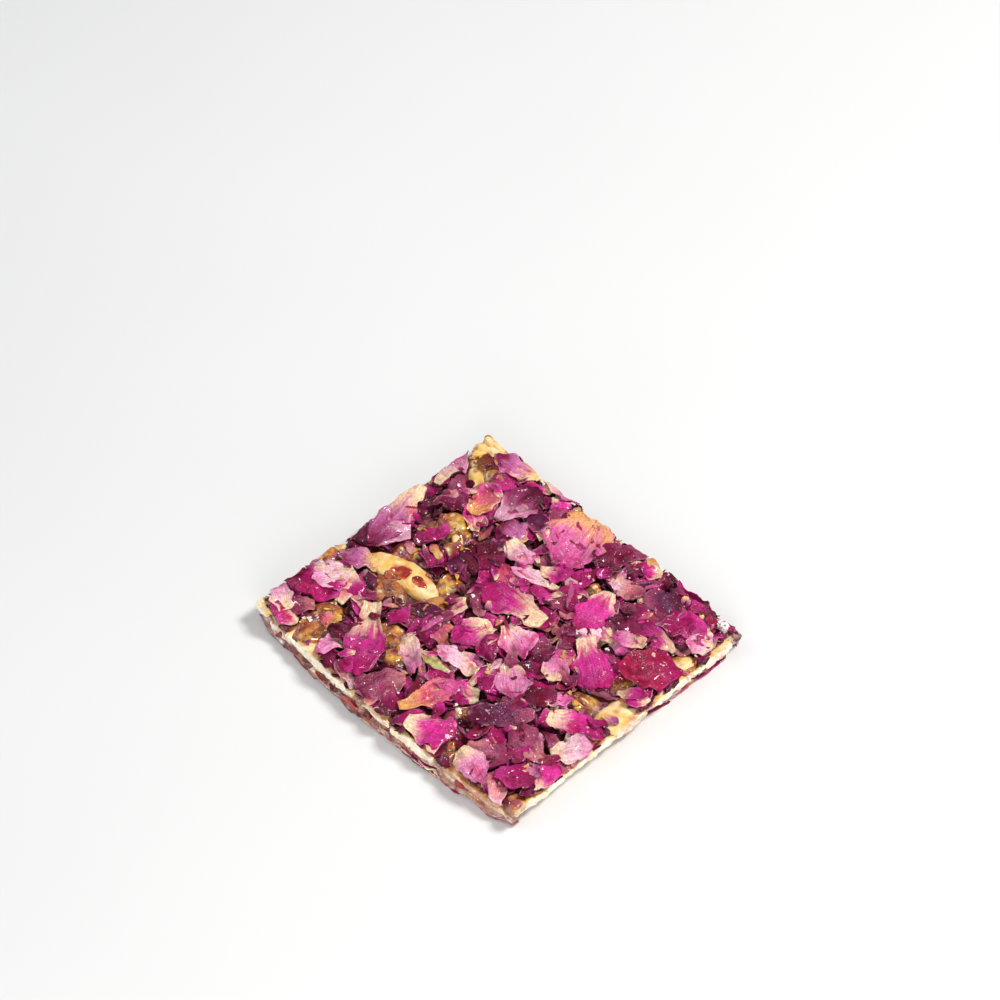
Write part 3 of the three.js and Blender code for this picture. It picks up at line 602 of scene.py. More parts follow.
def add_shell(pile, sheet, thickness, tints, places, back_tints=None):
    """Adds a closed thin shell: the sheet moved half its thickness to either side along its normals,
    with a strip of quads round the rim."""
    rows, columns = sheet.shape[0] - 1, sheet.shape[1] - 1
    shift = sheet_normals(sheet) * thickness / 2
    count = (rows + 1) * (columns + 1)
    rim = grid_rim(rows, columns)
    after = np.roll(rim, -1)
    quads = np.concatenate([
        grid_quads(rows, columns), grid_quads(rows, columns, count, flip=True),
        np.column_stack([rim + count, after + count, after, rim])])
    points = np.concatenate([(sheet + shift).reshape(-1, 3), (sheet - shift).reshape(-1, 3)])
    back_tints = tints if back_tints is None else back_tints
    pile.add(points, quads, np.concatenate([tints.reshape(-1, 3), back_tints.reshape(-1, 3)]),
             np.tile(places.reshape(-1, 2), (2, 1)))


# Petals: the fewest and most mesh steps along and across one, how stiff it is for its length, how
# much of it sinks into what it lies on, the gap it keeps, and how pale its back is
STEPS_ALONG = (4, 46)
HALF_STEPS_ACROSS = (2, 20)
STIFFNESS = 0.07
SUNK_PERCENT = 12
LAYING_GAP = 0.04
BACK_PALENESS = 0.22


def petal_sheet(rng, length, width, form, step, torn, crumple):
    """Middle surface of a petal that lies along +x with its claw at the origin, and its u and v.

    u runs from claw to tip and v across from -1 to 1. Half the width is a sine up to the widest
    place and an ellipse beyond it, torn by noise towards the rims. Across, each row is a curve whose
    angle is the sum of cup, ruffles, pleats, rolled rims and fold, and along, the petal bends by its
    curl: both curves are summed up step by step from the sines and cosines of their angles. Creases
    run where a noise crosses zero."""
    shape = FORMS[form]
    rows = int(np.clip(length / step, *STEPS_ALONG))
    columns = 2 * int(np.clip(width / step / 2, *HALF_STEPS_ACROSS))
    u = np.linspace(0, 1, rows + 1)[:, None]
    v = np.linspace(-1, 1, columns + 1)[None, :]
    seed = rng.uniform(0, 90)
    claw = rng.uniform(0.26, 0.5)
    widest = rng.uniform(0.55, 0.72)
    rise = claw + (1 - claw) * np.sin(np.pi / 2 * np.clip(u / widest, 0, 1)) ** rng.uniform(0.9, 1.5)
    fall = np.sqrt(np.clip(1 - (np.clip(u - widest, 0, 1) / (1.05 - widest)) ** 2, 0.04, 1))
    side = np.where(v < 0, 1 + rng.uniform(-0.15, 0.15), 1 + rng.uniform(-0.15, 0.15))
    tears = layered_noise(u * length, np.sign(v) * 5 + 0 * u, 2.2, seed)
    half = width / 2 * np.where(u < widest, rise, fall) * side
    q = v * half * (1 + 2.2 * torn * np.abs(v) ** 3 * tears)
    tip_tears = layered_noise(v * width / 2, 0 * u, 2.6, seed + 5)
    p = length * (u - rng.uniform(0.05, 0.14) * v * v * u ** 3) + 8 * torn * tip_tears * u ** 6

    angle = shape["cup"] * rng.uniform(0.6, 1.4) * v
    waves = rng.uniform(1.2, 3.0)
    angle = angle + shape["ruffle"] * v * np.sin(
        2 * np.pi * (waves * u + rng.uniform(0, 1)) + np.sign(v) * 1.3)
    pleats = max(0.7, width / rng.uniform(4.5, 8))
    angle = angle + shape["pleat"] * rng.uniform(0.6, 1.3) * smooth(u, 0.1, 0.8) * np.sin(
        2 * np.pi * (pleats * v + rng.uniform(0, 1) + 0.3 * noise(u * length, 0 * v, 4, seed + 2)))
    for edge in (-1, 1):
        turn = shape["roll"] * rng.uniform(-1.3, 1.0) * noise(u * length, 0 * v, 3.5, seed + 20 + edge)
        angle = angle + 1.6 * edge * turn * smooth(edge * v, 0.6, 1.0)
    if shape["fold"]:
        turn = rng.choice([-1, 1])
        line = rng.uniform(0.05, 0.4) + rng.uniform(-0.3, 0.3) * (u - 0.5)
        angle = angle + shape["fold"] * turn * smooth(turn * v, line, line + 0.3)
    middle = columns // 2
    turned = (angle[:, 1:] + angle[:, :-1]) / 2
    dq = np.diff(q, axis=1)
    start = np.zeros((rows + 1, 1))
    y = np.concatenate([start, np.cumsum(np.cos(turned) * dq, axis=1)], axis=1)
    z = np.concatenate([start, np.cumsum(np.sin(turned) * dq, axis=1)], axis=1)
    y, z = y - y[:, middle:middle + 1], z - z[:, middle:middle + 1]

    bend = shape["curl"] * rng.uniform(0.5, 1.5) * smooth(u, 0.45, 1.0) + rng.uniform(-0.3, 0.3) * (u - 0.5)
    dp = np.diff(p, axis=0)
    halfway = (bend[1:] + bend[:-1]) / 2
    start = np.zeros((1, columns + 1))
    x = np.concatenate([start, np.cumsum(np.cos(halfway) * dp, axis=0)]) - z * np.sin(bend)
    z = np.concatenate([start, np.cumsum(np.sin(halfway) * dp, axis=0)]) + z * np.cos(bend)
    creases = 0.5 - np.abs(layered_noise(x, y, 2.8, seed + 15))
    z = z + crumple * (0.25 * noise(x, y, 2.4, seed + 9) + 0.5 * creases + 0.2 * noise(x, y, 0.9, seed + 12))
    return np.stack([x, y, z], axis=-1), u + 0 * v, v + 0 * u


def undercut(y, z):
    """How far the +X side is broken away at a height: a half sine wave along the break, fading out
    towards the slices of nut above it."""
    share = np.clip((y - BREAK_FROM) / (BREAK_TO - BREAK_FROM), 0, 1)
    return BREAK_DEPTH * np.sin(np.pi * share) ** 0.6 * np.clip(6.2 - 2 * z, 0, 1)


def drawn_in(value, cut):
    """Coordinates drawn in by an exponential near a cut, so that they end just past its line."""
    reach = CUT_SOFT + OVER_CUT
    past = np.maximum(np.abs(value) - (cut - CUT_SOFT), 0)
    return np.sign(value) * (np.minimum(np.abs(value), cut - CUT_SOFT) + reach * (1 - np.exp(-past / reach)))


def kept_low(z):
    """Heights with those above CEILING_FROM eased by an exponential, so that they stay under CEILING."""
    room = CEILING - CEILING_FROM
    return np.minimum(z, CEILING_FROM + room * (1 - np.exp(-np.maximum(z - CEILING_FROM, 0) / room)))


def settle(sheet, claw, heading, height_map, stiff, squeeze, broken):
    """Turns a sheet to its heading, puts its claw in place, draws it in at the cuts and rests it on
    the map."""
    cos, sin = math.cos(heading), math.sin(heading)
    x = claw[0] + sheet[..., 0] * cos - sheet[..., 1] * sin
    y = claw[1] + sheet[..., 0] * sin + sheet[..., 1] * cos
    x = drawn_in(x, CUT_X - broken * np.where(x > 0, undercut(y, 0.0), 0.0))
    y = drawn_in(y, CUT_Y)
    z = squeeze * (sheet[..., 2] - np.percentile(sheet[..., 2], SUNK_PERCENT))
    return np.stack([x, y, kept_low(z + height_map.rest(x, y, stiff) + LAYING_GAP)], axis=-1)


def petal_tints(rng, u, v, palette, length, width):
    """Colours over a petal: claw, middle and tip colour follow each other along u with a wavy front,
    streaks fan out from the claw, on some petals the rim is paler in patches, a painted highlight of
    lit thin edges, on others darker, and blotches bruise it."""
    base, middle, tip = (colour(name) for name in PALETTES[palette])
    seed = rng.uniform(0, 90)
    front = u + 0.09 * noise(u * length, v * width / 2, 2.2, seed) - 0.1 * v * v
    streaks = noise(u * 1.2, v * 6 / (0.35 + u), 1.0, seed + 3)
    front = front + 0.17 * streaks
    start = rng.uniform(-0.02, 0.1)
    tints = mixed(base, middle, smooth(front, start, start + rng.uniform(0.32, 0.52)))
    tints = mixed(tints, tip, smooth(front, rng.uniform(0.4, 0.62), rng.uniform(0.85, 1.05)))
    tints = tints * (1 + 0.24 * streaks)[..., None]
    rim = smooth(np.maximum(np.abs(v), 2 * u - 1), 0.75, 1.0) * rng.uniform(0.2, 0.7)
    rim = rim * smooth(noise(u * length, v * width / 2, 1.6, seed + 11), -0.2, 0.5)
    # Pale and brightened rims are painted highlights of lit thin edges; the third choice darkens the rim.
    rims = [colour("pale_pink"), tints * 1.7, tints * 0.45]
    tints = tints + (rims[rng.choice(3, p=[0.2, 0.45, 0.35])] - tints) * rim[..., None]
    bruise = blotches(u * length, v * width / 2, 2.2, seed + 7, 0.15, 0.6) * rng.uniform(0.3, 0.85)
    tints = mixed(tints, tints * colour("bruise") * 2.2, bruise)
    return np.clip(tints * rng.uniform(0.9, 1.2), 0.002, 0.95)


def petal_places(rng, u, v, length):
    """Places for the fine vein pattern: along the petal in centimetres and across it from 0 to 1."""
    return np.stack([u * length / 10 + rng.uniform(0, 50), 0.5 * v + 0.5 + rng.integers(0, 40)], axis=-1)


def lay_petal(pile, rng, claw, tip, width, palette, form, step, thickness, torn, squeeze,
              crumple=1.0, shade=1.0, clear_of=1.0, broken=0.0, height_map="top"):
    """Shapes, colours and settles one petal, adds it to a pile and raises the map under it. It is
    left out if more than the share clear_of of it would hide bare nuts and toffee."""
    length = math.hypot(tip[0] - claw[0], tip[1] - claw[1])
    heading = math.atan2(tip[1] - claw[1], tip[0] - claw[0])
    sheet, u, v = petal_sheet(rng, length, width, form, step, torn, crumple)
    sheet = settle(sheet, claw, heading, maps[height_map], STIFFNESS * length, squeeze, broken)
    if clear_of < 1 and bare_share(sheet[..., 0], sheet[..., 1]).mean() > clear_of:
        return
    # A shade under 1 darkens a petal's colours: painted shade, used for the flakes in the gaps.
    tints = petal_tints(rng, u, v, palette, length, width) * shade
    pale_back = mixed(tints, colour("pale_lilac"), np.full(u.shape, BACK_PALENESS))
    add_shell(pile, sheet, thickness, tints, petal_places(rng, u, v, length), pale_back)
    maps[height_map].lay(sheet, thickness)


# Materials

class Wiring:
    """Adds and joins the nodes of a material or of a node group."""

    def __init__(self, tree):
        self.tree = tree

    def add(self, kind, inputs=None, **settings):
        """A node with its settings, and its inputs set to values or joined to sockets."""
        made = self.tree.nodes.new(kind)
        for key, value in settings.items():
            setattr(made, key, value)
        for key, value in (inputs or {}).items():
            if isinstance(value, bpy.types.NodeSocket):
                self.tree.links.new(value, made.inputs[key])
            else:
                made.inputs[key].default_value = value
        return made

    def noise(self, places, scale, detail=3.0, roughness=0.55):
        """Fractal noise from 0 to 1."""
        return self.add("ShaderNodeTexNoise", {
            "Vector": places, "Scale": scale, "Detail": detail, "Roughness": roughness}).outputs["Fac"]

    def ramp(self, value, low, high, out_low=0.0, out_high=1.0):
        """A value carried from one range to another, kept inside it."""
        return self.add("ShaderNodeMapRange", {
            "Value": value, "From Min": low, "From Max": high, "To Min": out_low, "To Max": out_high},
            clamp=True).outputs["Result"]

    def tint(self):
        """The mesh's own colour."""
        return self.add("ShaderNodeAttribute", attribute_name="tint").outputs["Color"]

    def grey(self, value):
        """A grey of a value."""
        return self.add("ShaderNodeCombineColor", {0: value, 1: value, 2: value}).outputs["Color"]

    def math(self, operation, first, second):
        """Two numbers put together."""
        return self.add("ShaderNodeMath", {0: first, 1: second}, operation=operation).outputs["Value"]

    def mix(self, share, first, second, blend="MIX"):
        """Two colours put together."""
        made = self.add("ShaderNodeMix", data_type="RGBA", blend_type=blend)
        for socket, value in ((0, share), (6, first), (7, second)):
            if isinstance(value, bpy.types.NodeSocket):
                self.tree.links.new(value, made.inputs[socket])
            else:
                made.inputs[socket].default_value = value
        return made.outputs[2]


def start_group(name, inputs, outputs):
    """A node group with named sockets, its wiring, and what its inputs bring in."""
    group = bpy.data.node_groups.new(name, "ShaderNodeTree")
    for way, sockets in (("INPUT", inputs), ("OUTPUT", outputs)):
        for socket, kind in sockets.items():
            group.interface.new_socket(name=socket, in_out=way, socket_type="NodeSocket" + kind)
    wiring = Wiring(group)
    return group, wiring, wiring.add("NodeGroupInput").outputs


def sugar_dust_and_glints():
    """Group: white sugar dust on a colour, its specks also painted glints, and a mask of the dust for the
    roughness.
    """
    group, wiring, given = start_group(
        "SugarDustAndGlints", {"Places": "Vector", "Color": "Color", "Amount": "Float"},
        {"Color": "Color", "DustAndGlints": "Float"})
    patches = wiring.ramp(wiring.noise(given["Places"], 260.0, 2.0), 0.5, 0.8)
    # The fine white specks are sugar dust and also painted glints.
    specks = wiring.ramp(wiring.noise(given["Places"], 4200.0, 1.0), 0.56, 0.7)
    dust_and_glints = wiring.math("MULTIPLY", wiring.math("MULTIPLY", patches, specks), given["Amount"])
    wiring.add("NodeGroupOutput", {
        "Color": wiring.mix(dust_and_glints, given["Color"], (0.9, 0.86, 0.86, 1.0)), "DustAndGlints": dust_and_glints})
    return group


def glaze_patches():
    """Group: roughness that drops where hard clear sugar covers a surface, and a mask of that sugar."""
    group, wiring, given = start_group(
        "GlazePatches", {"Places": "Vector", "Bare": "Float", "Glazed": "Float"},
        {"Roughness": "Float", "Glaze": "Float"})
    patches = wiring.ramp(wiring.noise(given["Places"], 330.0, 3.0), 0.46, 0.6)
    drop = wiring.math("MULTIPLY", patches, wiring.math("SUBTRACT", given["Glazed"], given["Bare"]))
    wiring.add("NodeGroupOutput", {"Roughness": wiring.math("ADD", given["Bare"], drop), "Glaze": patches})
    return group


def start_material(name):
    """A material with its wiring, its Principled shader and its Object coordinates."""
    made = bpy.data.materials.new(name)
    made.use_nodes = True
    wiring = Wiring(made.node_tree)
    places = wiring.add("ShaderNodeTexCoord").outputs["Object"]
    return made, wiring, made.node_tree.nodes["Principled BSDF"], places


def set_sockets(shader, values):
    """Sets a shader's own sockets to constants."""
    for name, value in values.items():
        shader.inputs[name].default_value = value


def finish_surface(wiring, shader, base, places, height, distance, dust_and_glint_amount, bare, glazed):
    """Joins a colour and a bump height to a shader, with sugar dust over them whose specks also stand in
    for glints as painted highlights, and glaze. Gives the mask of the glaze."""
    groups = bpy.data.node_groups
    dusted_and_glinting = wiring.add("ShaderNodeGroup", {"Places": places, "Color": base, "Amount": dust_and_glint_amount},
                       node_tree=groups.get("SugarDustAndGlints") or sugar_dust_and_glints()).outputs
    glossy = wiring.add("ShaderNodeGroup", {"Places": places, "Bare": bare, "Glazed": glazed},
                        node_tree=groups.get("GlazePatches") or glaze_patches()).outputs
    rough = wiring.math("ADD", glossy["Roughness"], wiring.math("MULTIPLY", dusted_and_glinting["DustAndGlints"], 0.4))
    bump = wiring.add("ShaderNodeBump", {"Height": height, "Strength": 0.8, "Distance": distance})
    for value, socket in (
            (dusted_and_glinting["Color"], "Base Color"), (rough, "Roughness"), (bump.outputs["Normal"], "Normal")):
        wiring.tree.links.new(value, shader.inputs[socket])
    return glossy["Glaze"]


def petal_material():
    """Dried petal: its own tint, fine veins from claw to tip, crinkles, sugar dust with painted glints, and
    glaze.
    """
    made, wiring, shader, places = start_material("dried_petal")
    own = wiring.add("ShaderNodeUVMap", uv_map="places").outputs["UV"]
    stretched = wiring.add("ShaderNodeMapping", {"Vector": own, "Scale": (1.6, 26.0, 1.0)}).outputs["Vector"]
    veins = wiring.noise(stretched, 1.0, 2.0)
    mottle = wiring.ramp(wiring.noise(places, 1500.0, 5.0, 0.75), 0.3, 0.7, 0.6, 1.42)
    shade = wiring.math("MULTIPLY", wiring.ramp(veins, 0.3, 0.7, 0.7, 1.24), mottle)
    base = wiring.mix(1.0, wiring.tint(), wiring.grey(shade), "MULTIPLY")
    crinkle = wiring.noise(places, 1500.0, 4.0, 0.7)
    folds = wiring.math("ABSOLUTE", wiring.math("SUBTRACT", wiring.noise(places, 480.0, 3.0), 0.5), 0.0)
    height = wiring.math("ADD", crinkle, wiring.math("MULTIPLY", veins, 0.6))
    height = wiring.math("SUBTRACT", height, wiring.math("MULTIPLY", folds, 2.2))
    glaze = finish_surface(wiring, shader, base, places, height, 0.55 * MM, dust_and_glint_amount=0.55, bare=0.6, glazed=0.3)
    wiring.tree.links.new(wiring.math("MULTIPLY", glaze, 0.55), shader.inputs["Coat Weight"])
    set_sockets(shader, {"Coat Roughness": 0.07, "Specular IOR Level": 0.15})
    return made


def mass_material():
    """The pressed mass: dark petal pulp in hard sugar, amber where the sugar shows, glossy."""
    made, wiring, shader, places = start_material("pressed_mass")
    shreds = wiring.noise(places, 1100.0, 5.0, 0.7)
    shade = wiring.ramp(shreds, 0.3, 0.7, 0.55, 1.35)
    base = wiring.mix(1.0, wiring.tint(), wiring.grey(shade), "MULTIPLY")
    cells = wiring.add("ShaderNodeTexVoronoi", {"Vector": places, "Scale": 900.0}).outputs["Distance"]
    height = wiring.math("ADD", shreds, wiring.math("MULTIPLY", cells, 0.8))
    finish_surface(wiring, shader, base, places, height, 0.4 * MM, dust_and_glint_amount=0.7, bare=0.42, glazed=0.1)
    set_sockets(shader, {"Coat Weight": 0.35, "Coat Roughness": 0.12})
    return made


def kernel_material():
    """Nut: pale flesh with fine pores, darker towards its skin, under thin sugar."""
    made, wiring, shader, places = start_material("nut_kernel")
    stain = wiring.ramp(wiring.noise(places, 420.0, 4.0, 0.6), 0.42, 0.72, 1.0, 0.72)
    warm = wiring.add("ShaderNodeCombineColor", {0: 1.0, 1: stain, 2: wiring.math("MULTIPLY", stain, stain)})
    base = wiring.mix(1.0, wiring.tint(), warm.outputs["Color"], "MULTIPLY")
    pores = wiring.noise(places, 2200.0, 4.0, 0.6)
    grain = wiring.noise(places, 600.0, 2.0)
    height = wiring.math("ADD", pores, wiring.math("MULTIPLY", grain, 1.4))
    finish_surface(wiring, shader, base, places, height, 0.18 * MM, dust_and_glint_amount=0.3, bare=0.55, glazed=0.32)
    set_sockets(shader, {"Subsurface Weight": 0.12, "Subsurface Radius": (0.9 * MM, 0.6 * MM, 0.35 * MM),
                         "Subsurface Scale": 1.0})
    return made


def toffee_material():
    """Hard clear sugar: amber with darker swirls and a glassy coat."""
    made, wiring, shader, places = start_material("toffee")
    swirl = wiring.ramp(wiring.noise(places, 500.0, 3.0), 0.35, 0.7, 1.15, 0.55)
    squared = wiring.math("MULTIPLY", swirl, swirl)
    deep = wiring.add("ShaderNodeCombineColor", {0: swirl, 1: squared, 2: swirl})
    base = wiring.mix(1.0, wiring.tint(), deep.outputs["Color"], "MULTIPLY")
    height = wiring.noise(places, 420.0, 2.0)
    finish_surface(wiring, shader, base, places, height, 0.3 * MM, dust_and_glint_amount=0.25, bare=0.18, glazed=0.06)
    set_sockets(shader, {
        "Coat Weight": 0.8, "Coat Roughness": 0.05, "Subsurface Weight": 0.25,
        "Subsurface Radius": (1.2 * MM, 0.5 * MM, 0.15 * MM), "Subsurface Scale": 1.0})
    return made


def sugar_material():
    """Sugar grains: white, rough faces with clear glints."""
    made, wiring, shader, places = start_material("sugar_grain")
    facets = wiring.add("ShaderNodeTexVoronoi", {"Vector": places, "Scale": 2600.0}).outputs["Color"]
    base = wiring.mix(0.06, wiring.tint(), facets)
    height = wiring.noise(places, 3200.0, 2.0)
    finish_surface(wiring, shader, base, places, height, 0.1 * MM, dust_and_glint_amount=0.2, bare=0.4, glazed=0.08)
    set_sockets(shader, {"Subsurface Weight": 0.2, "Subsurface Radius": (0.4 * MM, 0.4 * MM, 0.4 * MM),
                         "Subsurface Scale": 1.0})
    return made


MATERIALS = {
    "dried_petal": petal_material, "pressed_mass": mass_material, "nut_kernel": kernel_material,
    "toffee": toffee_material, "sugar_grain": sugar_material}


# The pressed mass

CORE_STEPS_X = 205
CORE_STEPS_Y = 186
CORE_SIDE_STEPS = 13
INSET_FADE = 7
CORNER_INSET = 0.25


def foot(along, z):
    """How far the lower part of the front side stands out, fading towards its top and its ends."""
    ends = smooth(CUT_X - np.abs(along), 0.0, FOOT_END)
    reach = FOOT_REACH + FOOT_UNEVEN * noise(along, 0 * along, 5.0, 61)
    return reach * ends * np.clip(2 - 2 * z / FOOT_TOP, 0, 1)


def side_inset(along, z, side):
    """How far a cut side stands in from the knife's line: thin pressed layers with hollows between
    them. The +X side (side 1) is also broken away below the middle of its run."""
    layers = noise(along, z * 6, 2.6, 20 + side)
    hollows = blotches(along, z * 2.2, 3.4, 30 + side, 0.05, 0.5)
    inset = 0.3 + 0.2 * layers + 0.8 * hollows + 0.16 * layered_noise(along, z * 3, 1.3, 40 + side)
    if side == 1:
        inset = inset + undercut(along, z)
    if side == 0:
        inset = inset - foot(along, z)
    return inset


def squeezed(x, y, level):
    """Grid points over the square moved in near its sides, so that the grid's rim meets the sides at
    a height: each side's inset fades out over INSET_FADE."""
    px = x + np.clip(1 - (CUT_X + x) / INSET_FADE, 0, 1) * side_inset(y, level, 3)
    px = px - np.clip(1 - (CUT_X - x) / INSET_FADE, 0, 1) * side_inset(y, level, 1)
    py = y + np.clip(1 - (CUT_Y + y) / INSET_FADE, 0, 1) * side_inset(x, level, 0)
    py = py - np.clip(1 - (CUT_Y - y) / INSET_FADE, 0, 1) * side_inset(x, level, 2)
    return px, py


def core_tints(x, y, z, side):
    """Burgundy and plum pulp. Browned sugar runs from yellow over amber to brown, with dark sugar in
    its creases. The sides are a beige and brown crust with bits of nut."""
    tints = painted(
        0.7 * colour("burgundy"), ("plum", blotches(x, y + 1.7 * z, 2.2, 50, -0.2, 0.6)),
        ("toffee_brown", 0.6 * smooth(noise(x + z, y - z, 1.6, 52), 0.1, 0.7)))
    if not side:
        return mixed(tints, toffee_tints(x, y), toffee_share(x, y))
    crust = painted(
        colour("crust_brown"), ("crust_beige", smooth(noise(x + y, z * 4, 1.3, 54), -0.4, 0.5)),
        ("toffee_amber", 0.7 * smooth(noise(x + y, z * 3, 3.1, 55), 0.0, 0.6)),
        ("kernel_white", 0.8 * smooth(noise(x + y, z * 3, 1.7, 58), 0.35, 0.7)))
    tints = mixed(tints, crust, blotches(x + y, z * 3, 2.4, 56, -0.6, 0.0))
    broken = smooth(x, CUT_X - 4.5, CUT_X - 3.5) * smooth(undercut(y, z), 0.2, 1.0)
    return painted(tints, ("kernel_white", 0.9 * broken))


def toffee_tints(x, y):
    """Browned sugar over the square: yellow, orange and amber run into each other, brown, mauve and
    dark red show in the creases, and pale smears lie on top. It is lightest at the far left corner."""
    dark = 1 - 0.75 * smooth(y - x, 48, 60)
    return painted(
        colour("toffee_yellow"), ("toffee_orange", blotches(x, y, 2.6, 91, -0.5, 0.3)),
        ("toffee_amber", dark * blotches(x, y, 2.1, 92, -0.4, 0.4)),
        ("toffee_brown", 0.8 * dark * blotches(x, y, 1.5, 93, -0.1, 0.5)),
        ("mauve", 0.8 * dark * blotches(x, y, 1.9, 96, 0.1, 0.5)),
        ("pocket_red", 0.8 * blotches(x, y, 1.3, 94, 0.4, 0.7)),
        ("kernel_cream", blotches(x, y, 1.6, 95, 0.3, 0.75)))


def build_core():
    """The pressed mass as one closed skin: a top grid on core_top, a bottom grid just above the
    pressed petals of the underside, and rings of points down the four sides, set in by side_inset."""
    start_maps()
    pile = Pile()
    rows, columns = CORE_STEPS_X, CORE_STEPS_Y
    x = np.linspace(-CUT_X, CUT_X, rows + 1)[:, None] + np.zeros((1, columns + 1))
    y = np.linspace(-CUT_Y, CUT_Y, columns + 1)[None, :] + np.zeros((rows + 1, 1))
    rim = grid_rim(rows, columns)
    ends = (np.arange(rows + 1) % rows == 0)[:, None] * (np.arange(columns + 1) % columns == 0)[None, :]

    def ring(z):
        """Rim points at a height: each side moves in along its own normal."""
        px, py = x.copy(), y.copy()
        px[0, :] += side_inset(y[0, :], z, 3)
        px[-1, :] -= side_inset(y[-1, :], z, 1)
        py[:, 0] += side_inset(x[:, 0], z, 0)
        py[:, -1] -= side_inset(x[:, -1], z, 2)
        px, py = px - CORNER_INSET * ends * np.sign(px), py - CORNER_INSET * ends * np.sign(py)
        return px.ravel()[rim], py.ravel()[rim]

    px, py = squeezed(x, y, CORE_TOP)
    top = np.stack([px, py, core_top(px, py)], axis=-1).reshape(-1, 3)
    edge_z = top[rim, 2]
    px, py = ring(CORE_TOP)
    top[rim, 0], top[rim, 1] = px, py
    levels = [top[rim]]
    for k in range(1, CORE_SIDE_STEPS):
        share = k / CORE_SIDE_STEPS
        level = CORE_TOP + (UNDER_TOP - CORE_TOP) * share
        px, py = ring(level)
        levels.append(np.column_stack([px, py, edge_z + (UNDER_TOP - edge_z) * share]))
    px, py = squeezed(x, y, UNDER_TOP)
    bottom = np.stack([px, py, UNDER_TOP + 0.12 * layered_noise(px, py, 2.6, 8)], axis=-1).reshape(-1, 3)
    px, py = ring(UNDER_TOP)
    bottom[rim, 0], bottom[rim, 1] = px, py

    count = len(top)
    around = len(rim)
    points = np.concatenate([top] + levels[1:] + [bottom])
    rings = [rim] + [count + k * around + np.arange(around) for k in range(CORE_SIDE_STEPS - 1)]
    first_below = count + (CORE_SIDE_STEPS - 1) * around
    rings.append(first_below + rim)
    quads = [grid_quads(rows, columns), grid_quads(rows, columns, first_below, flip=True)]
    for upper, lower in zip(rings[:-1], rings[1:]):
        quads.append(np.column_stack([lower, np.roll(lower, -1), np.roll(upper, -1), upper]))
    tints = np.concatenate([
        core_tints(*top.T, side=False), core_tints(*np.concatenate(levels[1:]).T, side=True),
        core_tints(*bottom.T, side=False)])
    pile.add(points, np.concatenate(quads), tints, points[:, :2] / 10)
    place_piece(pile, "pressed_mass", "pressed_mass", ["brittle_core"])


# Kernels

# Nuts that show: node, middle, heading, length, width, bend and how browned they are. Height and
# thickness come from the node
KERNELS = [
    ("cashew_half_top", (-22.5, -7.8), 0.08, 20, 7.2, 1.8, 0.15),
    ("cashew_cut_right", (35, 0), 1.55, 13, 9, -1, 0.42),
    ("nut_yellow_right", (35.2, 19.4), 1.3, 6.5, 4.8, 0, 0.55),
    ("nut_toffee_corner", (-34.2, 32.2), 0.15, 9.5, 6, 0.4, 0.42),
    ("nut_toffee_left", (-31.5, 24.6), -0.7, 8, 5, 0.4, 0.35),
    ("cashew_cut_front", (-18, -34.3), 0, 22, 6, -0.4, 0.05),
    ("cashew_end_front", (10.5, -34.4), 0.02, 12, 5, -0.3, 0.1),
    ("nut_toffee_front", (27, -34.2), -0.02, 15, 5, 0.2, 0.75),
    ("cashew_nub_corner", (-36.4, -33.6), 0.5, 6.4, 5, 0.3, 0.1),
    ("cashew_slice_right", (38, -20), 1.57, 21, 5, 0.3, 0.05),
    ("cashew_slice_back", (38, 27.6), 1.58, 8.4, 5.2, 0.2, 0.05),
    ("almond_cut_back", (8, 34.3), 0.05, 17, 6, 0.4, 0.15),
    ("cashew_cut_back", (-19, 34.5), 0, 13, 5, 0.2, 0.1),
    ("cashew_cut_left", (-38.1, 3), 1.57, 16, 6, -0.4, 0.1),
    ("almond_cut_left", (-38, -17), 1.6, 11, 5, 0.2, 0.2),
]
